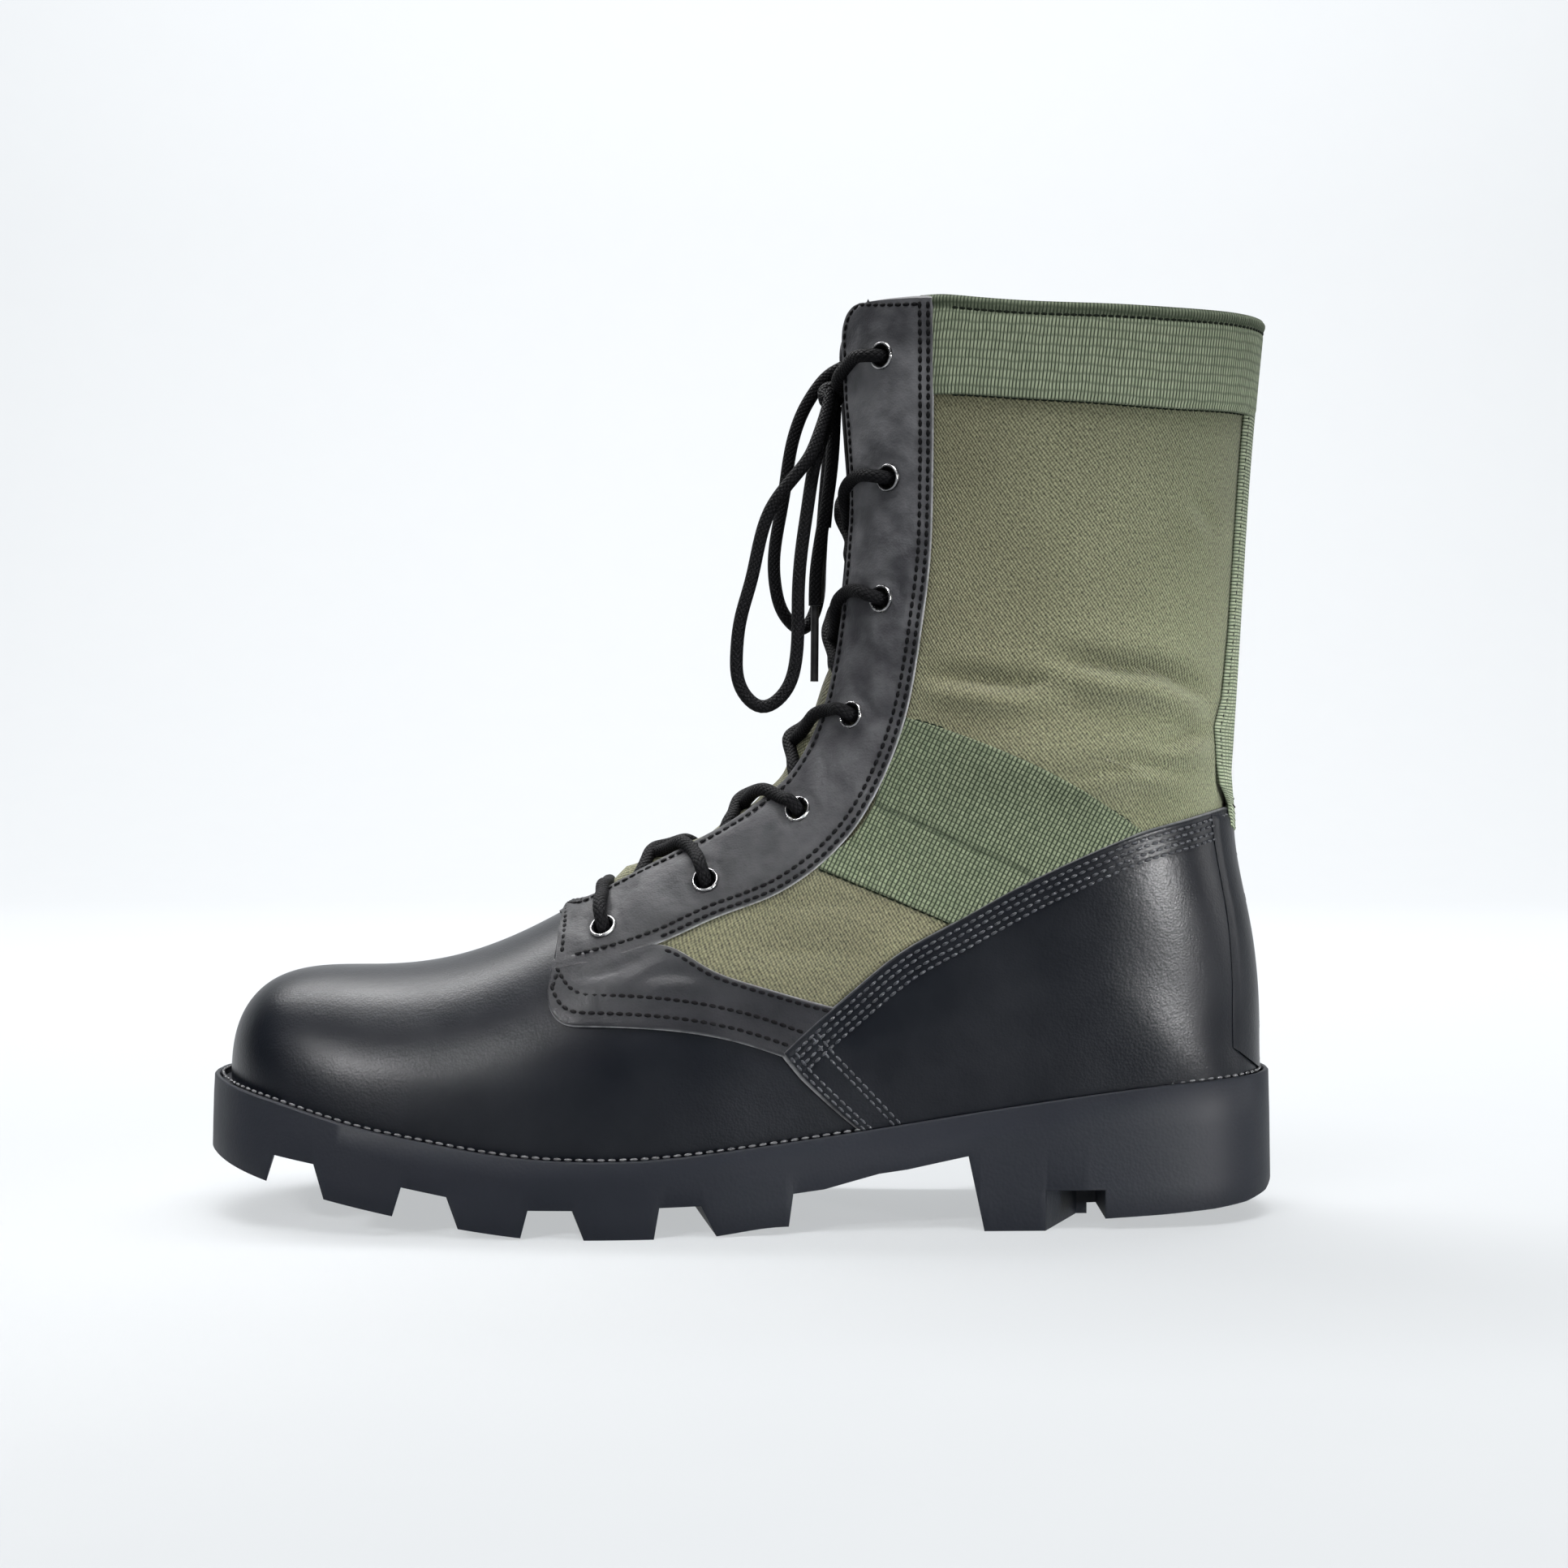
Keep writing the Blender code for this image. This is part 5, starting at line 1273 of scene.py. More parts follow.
@dataclass
class Outsole:
    """Moulded rubber sole with its rim lip, seat, cross grooves, waist and heel."""

    form: BootForm
    looks: Finishes
    count: int = 150
    lip_width: float = 1.6
    flare: float = 0.6
    groove_edge: float = -48.0
    groove_slant: float = -0.17
    grooves: tuple = (
        (-123.8, 20.4, -112.8, 18.7, -130.2, -106.0),
        (-89.3, 13.4, -77.3, 11.1, -94.6, -71.8),
        (-55.8, 7.8, -43.9, 7.8, -58.9, -39.5),
        (-20.8, 8.3, -9.5, 8.5, -23.0, -3.1),
    )
    waist: tuple = ((12.2, -4.0), (14.4, 11.0), (38.0, 15.8), (62.0, 20.2), (66.3, 0.0), (67.2, -4.0))
    waist_slants: tuple = (-0.17, -0.17, 0.0, 0.09, 0.09, 0.09)
    waist_edge: float = -40.0
    notch_plan: tuple = ((76.3, 52.0), (83.6, 36.0), (94.5, 12.0), (100.0, 12.0), (99.0, 52.0))
    notch_height: float = 10.8
    heel_lift: tuple = (
        (97.5, -4.0), (97.5, 3.0), (115.0, 3.8), (130.0, 4.7), (140.0, 5.7), (147.0, 7.4),
        (153.0, 12.0), (160.0, -4.0),
    )
    stitch_pitch: float = 2.9

    def outline(self) -> tuple[np.ndarray, np.ndarray]:
        """Plan outline of the upper's lower edge.

        Returns:
            The closed loop of plan points, outer side first, and its outward directions.
        """
        halves = []
        for side in Side:
            s = self.form.heel * np.sin(np.linspace(0.0, math.pi / 2, 600)) ** 1.5
            line = self.form.on_form(s, self.form.seat_angle(s), np.full(600, side.value))[:, :2]
            run = run_length(line)
            at = np.linspace(0.0, run[-1], self.count)
            halves.append(np.column_stack([np.interp(at, run, line[:, i]) for i in range(2)]))
        loop = np.vstack((halves[0], halves[1][-2:0:-1]))
        run = np.roll(loop, -1, axis=0) - np.roll(loop, 1, axis=0)
        out = np.column_stack((-run[:, 1], run[:, 0]))
        out /= np.linalg.norm(out, axis=1, keepdims=True)
        if np.sign(np.sum(out * (loop - loop.mean(axis=0)), axis=1)).sum() < 0:
            out = -out
        return loop, out

    def rings(self) -> list[np.ndarray]:
        """Rings of the sole from the tread up the wall, over the lip and down to the seat."""
        loop, out = self.outline()
        line = self.form.sole
        width = line.ledge(loop[:, 0])
        lip = self.lip_width
        profile = (
            (self.flare, line.tread_z),
            (self.flare * 0.8, lambda x: 0.7 * line.tread_z(x) + 0.3 * line.rim_z(x)),
            (self.flare * 0.45, lambda x: 0.3 * line.tread_z(x) + 0.7 * line.rim_z(x)),
            (0.0, lambda x: line.rim_z(x) - 0.5),
            (-0.4, line.rim_z),
            (-lip + 0.35, line.rim_z),
            (-lip, lambda x: line.rim_z(x) - 0.4),
            (-lip, line.seat_z),
        )
        made = []
        for margin, height in profile:
            plan = loop + out * (width + margin)[:, None]
            made.append(np.column_stack((plan, height(plan[:, 0]))))
        return made

    def blank(self) -> bpy.types.Object:
        """Sole without its grooves."""
        bm = bmesh.new()
        loops = [[bm.verts.new(point * MM) for point in ring] for ring in self.rings()]
        size = len(loops[0])
        for low, high in zip(loops, loops[1:]):
            for i in range(size):
                j = (i + 1) % size
                bm.faces.new((low[i], low[j], high[j], high[i]))
        for loop in (loops[0], loops[-1]):
            far = [loop[0]] + loop[: self.count - 1 : -1] + [loop[self.count - 1]]
            for i in range(self.count - 1):
                corners = [loop[i], loop[i + 1], far[i + 1], far[i]]
                corners = [c for k, c in enumerate(corners) if c not in corners[:k]]
                bm.faces.new(corners)
        bmesh.ops.recalc_face_normals(bm, faces=bm.faces)
        mesh = bpy.data.meshes.new("rubber_sole")
        bm.to_mesh(mesh)
        bm.free()
        piece = bpy.data.objects.new("rubber_sole", mesh)
        bpy.context.scene.collection.objects.link(piece)
        return piece

    @staticmethod
    def cutter(outline: Route, move: Route) -> bpy.types.Object:
        """Solid from a flat outline whose corners each run along their own move."""
        bm = bmesh.new()
        near = [bm.verts.new(Vector(corner) * MM) for corner in outline]
        far = [bm.verts.new((Vector(corner) + Vector(run)) * MM) for corner, run in zip(outline, move)]
        bm.faces.new(near)
        bm.faces.new(far[::-1])
        for i in range(len(near)):
            j = (i + 1) % len(near)
            bm.faces.new((near[i], far[i], far[j], near[j]))
        bmesh.ops.recalc_face_normals(bm, faces=bm.faces)
        mesh = bpy.data.meshes.new("cutter")
        bm.to_mesh(mesh)
        bm.free()
        piece = bpy.data.objects.new("cutter", mesh)
        bpy.context.scene.collection.objects.link(piece)
        return piece

    def prism(self, profile: Line, slants: Sequence[float], edge: float) -> bpy.types.Object:
        """Cutter of a side-view profile right across the sole."""
        near = [(x + slant * (-70.0 - edge), -70.0, z) for (x, z), slant in zip(profile, slants)]
        return self.cutter(near, [(slant * 140.0, 140.0, 0.0) for slant in slants])

    def cutters(self) -> list[bpy.types.Object]:
        """Cutters of the grooves, waist, heel notches and lifted heel block."""
        made = []
        for front, front_z, back, back_z, mouth_front, mouth_back in self.grooves:
            profile = ((mouth_front, -4.0), (front, front_z), (back, back_z), (mouth_back, -4.0))
            made.append(self.prism(profile, (self.groove_slant,) * 4, self.groove_edge))
        made.append(self.prism(self.waist, self.waist_slants, self.waist_edge))
        made.append(self.prism(self.heel_lift, (0.0,) * len(self.heel_lift), 0.0))
        for side in Side:
            plan = [(x, side.value * y, -5.0) for x, y in self.notch_plan]
            made.append(self.cutter(plan, [(0.0, 0.0, 5.0 + self.notch_height)] * len(plan)))
        return made

    def build(self) -> None:
        """Cut, round and dress the sole, and sew the channel round the upper."""
        piece = self.blank()
        for cutter in self.cutters():
            apply_modifier(piece, "BOOLEAN", operation="DIFFERENCE", solver="EXACT", object=cutter)
            bpy.data.objects.remove(cutter, do_unlink=True)
        apply_modifier(
            piece, "BEVEL", width=0.5 * MM, segments=2, limit_method="ANGLE", angle_limit=math.radians(40.0)
        )
        smooth(piece, 38.0)
        dress(piece, self.looks.rubber, ("outsole",))
        loop, out = self.outline()
        width = self.form.sole.ledge(loop[:, 0]) - self.lip_width - 0.75
        plan = loop + out * width[:, None]
        places = np.column_stack((plan, self.form.sole.rim_z(plan[:, 0]) + 0.25))
        places = np.vstack((places, places[:1]))
        threads = Threadwork(self.form)
        threads.add_places(places, np.tile((0.0, 0.0, 1.0), (len(places), 1)), self.stitch_pitch)
        dress(threads.build("welt_stitches", 2.2, 0.9, 0.9), self.looks.welt_thread)


class LeatherLines:
    """Side-view lines of the leather overlays."""

    eyestay_rear = (
        (53.2, 253.2), (53.3, 226.3), (53.2, 201.2), (52.3, 179.3), (50.1, 161.8), (46.5, 140.9),
        (39.9, 122.0),
        (31.1, 107.1), (21.7, 97.6), (8.8, 89.4), (-6.2, 83.7), (-18.5, 78.2), (-34.0, 72.9), (-50.4, 69.0),
    )
    quarter_top = (
        (-50.8, 72.0), (-40.0, 74.5), (-28.0, 76.5), (-19.0, 76.2), (-8.7, 70.8), (4.5, 66.0), (19.9, 61.7),
        (27.0, 59.9),
    )
    quarter_bottom = (
        (-51.4, 64.0), (-50.9, 60.6), (-49.2, 57.6), (-46.4, 55.8), (-42.0, 55.3), (-26.5, 54.9),
        (-13.9, 53.7),
        (-1.1, 51.2), (12.4, 46.9),
    )
    counter_top = (
        (11.4, 47.6), (19.8, 55.2), (30.8, 64.5), (44.0, 75.0), (57.6, 82.7), (71.0, 90.4), (84.3, 97.3),
        (94.4, 101.9), (108.0, 107.3), (122.7, 111.2), (134.2, 114.1), (142.0, 115.4),
    )
    counter_foot_x = (33.8, 50.0, 70.0, 90.0, 110.0, 128.0, 140.0, 147.4)


@dataclass
class Upper:
    """Leather vamp, canvas shaft, inner lining and footbed."""

    form: BootForm
    looks: Finishes
    wall: float = 2.2
    hidden_seam: tuple = (
        (-48.0, 73.0), (-30.0, 68.0), (-12.0, 63.5), (4.0, 58.5), (18.0, 53.5), (30.0, 55.0), (44.0, 64.0),
        (58.0, 72.5), (84.0, 87.0), (108.0, 97.5), (134.0, 104.0), (143.0, 104.6),
    )
    stay_line: tuple = LeatherLines.eyestay_rear
    canvas_folds: tuple = (
        Fold(
            (
                (79.0, 155.6), (88.0, 154.6), (96.0, 153.5), (104.0, 152.2), (111.5, 151.8), (119.0, 149.6),
                (132.5, 144.0),
            ),
            3.5, 2.5, Side.LATERAL, 1.2,
        ),
        Fold(((48.0, 150.4), (64.3, 149.2), (74.4, 148.1), (90.0, 150.4)), 3.0, 2.3, Side.LATERAL, 1.1),
        Fold(((84.0, 123.6), (96.0, 124.2), (105.0, 127.0), (112.5, 126.2), (126.0, 124.0)), 2.3, 2.0),
        Fold(((108.0, 129.6), (118.4, 132.5), (131.0, 135.4)), 2.3, 1.9),
        Fold(((113.0, 138.4), (122.0, 136.6), (130.0, 136.0)), 0.9, 1.6),
        Fold(((48.0, 132.0), (70.0, 128.6), (98.0, 127.4), (134.0, 129.0)), -4.0, 10.0, Side.LATERAL, 0.0),
        Fold(((121.0, 200.0), (127.0, 195.4), (132.5, 188.5)), 0.6, 2.4),
        Fold(((2.0, 86.0), (14.0, 87.6), (26.0, 88.0), (40.0, 86.0)), 0.8, 2.2),
        Fold(((-6.0, 78.0), (8.0, 75.2), (22.0, 75.0), (40.0, 74.0)), 0.9, 2.6),
        Fold(((58.0, 152.0), (76.0, 150.0), (98.0, 150.6), (120.0, 146.0)), 1.5, 2.6, Side.MEDIAL),
        Fold(((84.0, 127.0), (100.0, 129.0), (128.0, 126.0)), 1.2, 2.2, Side.MEDIAL),
    )

    def line_angle(self, line: Line, s: np.ndarray) -> np.ndarray:
        """Angle at which each section crosses a side-view line."""
        flat = through(line, 400)
        at, angle = self.form.locate(flat[:, 0], flat[:, 1])
        order = np.argsort(at)
        return np.interp(s, at[order], angle[order])

    def seam_angle(self, s: np.ndarray) -> np.ndarray:
        """Angle of the hidden seam between canvas and leather at s, pi past its end at the back."""
        end = self.form.locate(*(np.array([value]) for value in self.hidden_seam[-1]))[0]
        return np.where(s > end, math.pi, self.line_angle(self.hidden_seam, s))

    def both_sides(
        self, name: str, s: np.ndarray, top: np.ndarray, low: np.ndarray, columns: int, offset: Callable
    ) -> bpy.types.Object:
        """Sheet on both sides of the form, joined where the sides meet.

        Args:
            name: Name of the piece.
            s: Sections from the front on.
            top: Angle at which each section starts.
            low: Angle at which each section ends.
            columns: Number of steps round each side.
            offset: Function of points of the form and their angles that gives their offsets.

        Returns:
            The joined piece.
        """
        halves = []
        share = np.linspace(0.0, 1.0, columns + 1)
        angle = top[:, None] + share[None, :] * (low - top)[:, None]
        sections = self.form.dipped(np.repeat(s[:, None], columns + 1, axis=1), angle)
        for side in Side:
            base = self.form.point(sections, angle, side.value)
            places = self.form.point(sections, angle, side.value, offset(base, angle))
            wide = np.abs(base[..., 1])
            behind = np.sign(np.arange(columns + 1)[None, :] - wide.argmax(axis=1)[:, None])
            turned = behind * (wide.max(axis=1, keepdims=True) - wide)
            uv = np.stack((base[..., 0] + turned, base[..., 2]), axis=-1)
            judged = (len(s) // 2, columns // 4)
            outward = self.form.normal(sections, angle, np.full(angle.shape, side.value))[judged]
            halves.append(grid_piece(f"{name}_{side.label}", places, uv, outward))
        return join(name, halves)

    def build_vamp(self) -> None:
        """Leather over the toe and along the foot."""
        form = self.form
        front = form.throat * np.linspace(0.0, 1.0, 120) ** 1.1
        counter_s = float(form.locate(np.array([46.0]), np.array([40.0]))[0][0])
        curve = form.throat + (counter_s - form.throat) * np.linspace(0.0, 1.0, 71)[1:] ** 1.6
        s = np.concatenate((front, curve))
        seam = self.seam_angle(s)[:, None]
        behind = np.clip((s - form.throat) / 0.02, 0.0, 1.0)[:, None]

        def offset(base: np.ndarray, angle: np.ndarray) -> np.ndarray:
            under = np.clip((seam + 0.03 - angle) / 0.05, 0.0, 1.0) * behind
            return -1.15 * under

        piece = self.both_sides("vamp", s, form.throat_angle(s), form.seat_angle(s), 72, offset)
        apply_modifier(piece, "SOLIDIFY", thickness=0.5 * MM, offset=-1.0)
        smooth(piece, 60.0)
        dress(piece, self.looks.leather, ("upper",))

    def build_shaft(self) -> None:
        """Canvas of the shaft down to the seam under the leather."""
        form = self.form
        s = np.linspace(form.throat + 0.02, 1.0, 210)
        top = np.maximum(self.line_angle(self.stay_line, s) - 0.08, form.throat_angle(s))
        low = np.maximum(self.seam_angle(s), top + 0.02)
        piece = self.both_sides(
            "shaft_canvas", s, top, low, 110, lambda base, angle: total_relief(self.canvas_folds, base)
        )
        apply_modifier(piece, "SOLIDIFY", thickness=1.0 * MM, offset=-1.0)
        smooth(piece, 60.0)
        dress(piece, self.looks.canvas)

    def build_lining(self) -> None:
        """Inner face of the upper, from the footbed to the collar."""
        form = self.form
        fore = form.throat * np.linspace(0.12, 1.0, 40)
        s = np.concatenate((fore, np.linspace(form.throat + 0.003, 0.998, 110)))
        top = form.throat_angle(s)

        def offset(base: np.ndarray, angle: np.ndarray) -> np.ndarray:
            return total_relief(self.canvas_folds, base) - 1.7

        piece = self.both_sides("inner_lining", s, top, form.seat_angle(s), 60, offset)
        apply_modifier(piece, "SOLIDIFY", thickness=0.5 * MM, offset=-1.0)
        smooth(piece, 60.0)
        dress(piece, self.looks.lining)

    def build_footbed(self, outline: tuple[np.ndarray, np.ndarray]) -> None:
        """Footbed with a soft edge, dished under the heel and the ball.

        Args:
            outline: Plan loop of the upper's lower edge and its outward directions.
        """
        loop, out = outline
        count = len(loop) // 2 + 1
        plan = loop - out * (self.wall + 2.6)
        near = plan[:count]
        far = np.vstack((plan[:1], plan[:count - 2:-1]))[:count]
        shares = fine_ends(80.0, 24, (0.0, 0.5, 1.2, 2.2))
        places = near[None] + shares[:, None, None] * (far - near)[None]
        seat = self.form.sole.seat_z(places[..., 0]) + 2.7
        edge = np.minimum(shares, 1.0 - shares)[:, None] * np.linalg.norm(far - near, axis=1)[None]
        dish = np.clip(1.0 - edge / 14.0, 0.0, 1.0) ** 2 * 1.4
        rise = dish - np.clip(1.0 - edge / 1.2, 0.0, 1.0) ** 2 * 1.2
        places = np.concatenate((places, (seat + rise)[..., None]), axis=-1)
        down, along = surface_runs(places)
        piece = grid_piece("footbed", places, np.stack((along, down), axis=-1), np.array((0.0, 0.0, 1.0)))
        apply_modifier(piece, "SOLIDIFY", thickness=2.2 * MM, offset=-1.0)
        smooth(piece, 60.0)
        dress(piece, self.looks.footbed, ("insole",))


@dataclass
class Tongue:
    """Canvas tongue under the eyestays that rises into the throat between them."""

    form: BootForm
    looks: Finishes
    wall: float = 2.2
    thickness: float = 1.8
    tuck: float = 9.0
    half_width: float = 26.0
    shares: tuple = (0.55, 0.85, 1.0, 0.93, 0.80, 0.58)
    rise_at: tuple = (0.0, 7.0, 22.0, 36.0, 60.0, 110.0, 150.0, 210.0)
    rise: tuple = (0.0, 1.0, 5.4, 2.6, 0.8, 0.6, 3.2, 1.0)
    clearance: float = 1.1

    def lift(self, s: np.ndarray, angle: np.ndarray) -> np.ndarray:
        """Offset of the tongue's outer face."""
        form = self.form
        row = form.row(s)
        half = np.abs(np.sin(angle)) ** (2.0 / row["top_power"]) * row["half_width"]
        room = np.clip(form.half_gap(s) - 2.2, 1e-3, form.throat_gap - 2.2)
        share = np.clip(half / room, 0.0, 1.0)
        rise = np.interp((s - form.throat) * 0.5 * form.length, self.rise_at, self.rise)
        return -(self.wall + self.clearance) + rise * (1.0 - share**2) ** 2

    def build(self) -> None:
        """Canvas sheet with small slack waves between the laces."""
        form = self.form
        start = form.throat - self.tuck / (0.5 * form.length)
        s = np.append(np.linspace(start, 0.955, 130), np.linspace(0.957, 0.992, 14))
        at = (start, form.throat, 0.955, 0.972, 0.985, 0.992)
        width = np.interp(s, at, np.array(self.shares) * self.half_width)
        edge = form.gap_angle(s, width)
        across = np.linspace(-1.0, 1.0, 61)
        angle = np.abs(across)[None, :] * edge[:, None]
        side = np.where(across < 0.0, -1.0, 1.0)[None, :] * np.ones_like(angle)
        sections = np.repeat(s[:, None], len(across), axis=1)
        run = (sections - form.throat) * 0.5 * form.length
        slack = 0.35 * np.sin(run / 5.2 + 2.0 * across) * (1.0 - across**2)
        places = form.point(sections, angle, side, self.lift(sections, angle) + slack)
        down, along = surface_runs(places)
        uv = np.stack((along - 0.5 * along[:, -1:], down), axis=-1)
        piece = grid_piece("canvas_tongue", places, uv, np.array((-1.0, 0.0, 0.3)))
        apply_modifier(piece, "SOLIDIFY", thickness=self.thickness * MM, offset=-1.0)
        smooth(piece, 60.0)
        dress(piece, self.looks.canvas, ("tongue",))


@dataclass
class LeatherOverlays:
    """Eyestays, lower quarters, heel counter and heel strap with their stitching."""

    form: BootForm
    looks: Finishes
    eyelets: Eyelets
    quarter_folds: tuple = (
        Fold(((-48.0, 67.6), (-34.4, 69.7), (-21.0, 75.4)), 0.7, 1.7),
        Fold(((-30.0, 67.0), (-16.0, 69.0), (-6.0, 66.5)), 0.4, 1.6),
        Fold(((-48.0, 67.6), (-34.4, 69.7), (-21.0, 75.4)), 0.7, 1.7, Side.MEDIAL),
    )
    lift: float = 0.3
    skin: float = 1.4
    edge_radius: float = 0.8
    stitch_pitch: float = 2.45
    counter_rows: tuple = (2.2, 4.0, 6.0, 7.8)
    counter_steps: tuple = (
        0.0, 0.25, 0.6, 1.1, 1.7, 2.2, 2.7, 3.4, 4.0, 4.6, 5.3, 6.0, 6.7, 7.3, 7.8, 8.5,
    )
    strap_half_width: float = 21.5
    strap_top: float = 112.5
    strap_dip: float = 5.6

    def outer(self, panel: Panel, edges: str, lift: float, skin: float) -> np.ndarray:
        """Offset of a skin's outer face with rounded cut edges."""
        return lift + crown(panel.edge_distance(edges), skin, self.edge_radius)

    def throat_rail(self, count: int) -> np.ndarray:
        """Front edge of the eyestay from the collar down to the throat's end."""
        s = np.concatenate((np.linspace(1.0, 0.95, 60), np.linspace(0.949, self.form.throat + 0.012, 240)))
        s = np.append(s, self.form.throat + 0.012 * np.linspace(0.95, 0.02, 40) ** 1.6)
        return self.form.even_rail(np.column_stack((s, self.form.throat_angle(s))), count)

    def build_eyestay(self, side: Side) -> Panel:
        """Leather strip along the throat with its rows of stitches."""
        form = self.form
        count = 300
        first = self.throat_rail(count)
        last = form.rail(LeatherLines.eyestay_rear, count)
        ruled = Panel.between(form, first, last, fine_ends(24.0, 26), side.value)
        panel = Panel(form, form.dipped(ruled.s, ruled.angle), ruled.angle, side.value)
        offset = self.outer(panel, "flbe", self.lift, self.skin)
        for edge, distance in (("l", 1.3), ("l", 3.7), ("f", 2.4)):
            offset -= 0.32 * np.exp(-((panel.edge_distance(edge) - distance) / 0.75) ** 2)
        wave = 0.2 * np.sin(panel.along / 4.3 + 1.6 * np.sin(panel.down / 4.0))
        wave += 0.13 * np.sin(panel.along / 2.1 - panel.down / 3.3)
        offset += wave * np.clip(panel.edge_distance("fl") / 5.0, 0.0, 1.0)
        for x, z in self.eyelets.centres:
            reach = np.hypot(panel.base[..., 0] - x, panel.base[..., 2] - z)
            offset -= 0.35 * np.exp(-((reach - 5.2) / 1.3) ** 2)
        piece = panel.sheet(f"eyestay_{side.label}_leather", offset, 3.6, "l")
        for centre in self.eyelets.centres:
            cutter = self.eyelets.hole_cutter(centre, side)
            apply_modifier(piece, "BOOLEAN", operation="DIFFERENCE", solver="EXACT", object=cutter)
            bpy.data.objects.remove(cutter, do_unlink=True)
        smooth(piece)
        # The eyestay takes the leather with painted light.
        dress(piece, self.looks.trim, (f"eyestay_{side.label}",))
        return panel

    def build_quarter(self, side: Side) -> Panel:
        """Leather below the eyestay, over the vamp and round the canvas gusset."""
        form = self.form
        count = 150
        first = form.rail(LeatherLines.quarter_top, count)
        last = form.rail(LeatherLines.quarter_bottom, count)
        panel = Panel.between(form, first, last, fine_ends(16.0, 22), side.value)
        offset = self.outer(panel, "flb", self.lift, self.skin - 0.3)
        offset += total_relief(self.quarter_folds, panel.base)
        piece = panel.sheet(f"quarter_{side.label}_leather", offset, 1.3, "flb")
        dress(piece, self.looks.quarter)
        return panel

    def build_counter(self) -> Panel:
        """Leather counter round the heel."""
        form = self.form
        count = 150
        top = around_back(form.rail(LeatherLines.counter_top, count))
        foot_x = np.array(LeatherLines.counter_foot_x)
        foot = list(zip(foot_x, form.sole.rim_z(foot_x) - 1.2))
        low = around_back(form.rail(foot, count))
        top[count - 1, 1] = low[count - 1, 1] = math.pi
        shares = fine_ends(70.0, 52, self.counter_steps)
        panel = Panel.between(form, top, low, shares, Side.LATERAL.value)
        offset = self.outer(panel, "fbe", self.lift, self.skin)
        for distance in self.counter_rows:
            offset -= 0.18 * np.exp(-((panel.down - distance) / 0.5) ** 2)
        piece = panel.sheet("heel_counter_leather", offset, 1.5, "fbe")
        dress(piece, self.looks.leather, ("counter",))
        return panel

    def build_strap(self) -> Panel:
        """Leather strap down the back seam of the counter."""
        form = self.form
        heights = np.linspace(self.strap_top, 39.6, 70)
        dip = np.linspace(self.strap_dip, 0.0, 70)
        panel = form.back_strip(heights, np.full(70, self.strap_half_width), 33, dip)
        offset = self.outer(panel, "flb", self.lift + self.skin - 0.1, 0.8)
        piece = panel.sheet("heel_strap_leather", offset, 1.2)
        dress(piece, self.looks.leather)
        return panel

    def sew(self, eyestay: Panel, quarter: Panel, side: Side) -> None:
        """Rows of stitches on one side's eyestay and quarter."""
        threads = Threadwork(self.form)
        top = self.lift + self.skin + 0.02
        lines = [
            eyestay.line_across(1.3, False, slice(2, 262)),
            eyestay.line_across(3.7, False, slice(2, 292)),
            eyestay.line_across(2.4, True, slice(4, 296)),
        ]
        lines += [eyestay.line_down(2.4, begin, slice(5, -6)) for begin in (True, False)]
        for line in lines:
            threads.add_line(line, side.value, top, self.stitch_pitch)
        lines = [quarter.line_across(distance, False, slice(4, 146)) for distance in (4.0, 9.4)]
        lines.append(quarter.line_across(1.6, True, slice(58, 148)))
        lines.append(quarter.line_down(2.4, True, slice(12, -8)))
        for line in lines:
            threads.add_line(line, side.value, top - 0.3, self.stitch_pitch)
        piece = threads.build(f"stitches_{side.label}", 2.1, 1.25, 0.75)
        dress(piece, self.looks.thread)

    def sew_counter(self, counter: Panel) -> None:
        """Rows of stitches under the counter's top edge and beside its front edges."""
        threads = Threadwork(self.form)
        top = self.lift + self.skin + 0.02
        lines = [counter.line_across(distance, True, slice(3, -3)) for distance in self.counter_rows]
        for distance in (1.6, 3.4, 9.5, 11.3):
            lines += [counter.line_down(distance, begin, slice(8, -6)) for begin in (True, False)]
        for line in lines:
            threads.add_line(line, Side.LATERAL.value, top, self.stitch_pitch)
        piece = threads.build("stitches_counter", 2.0, 0.95, 0.8)
        # The counter's threads carry a painted sheen.
        dress(piece, self.looks.sheen_painted_thread)

    def build(self) -> None:
        """All overlays of both sides."""
        for side in Side:
            eyestay = self.build_eyestay(side)
            quarter = self.build_quarter(side)
            self.sew(eyestay, quarter, side)
        counter = self.build_counter()
        self.build_strap()
        self.sew_counter(counter)


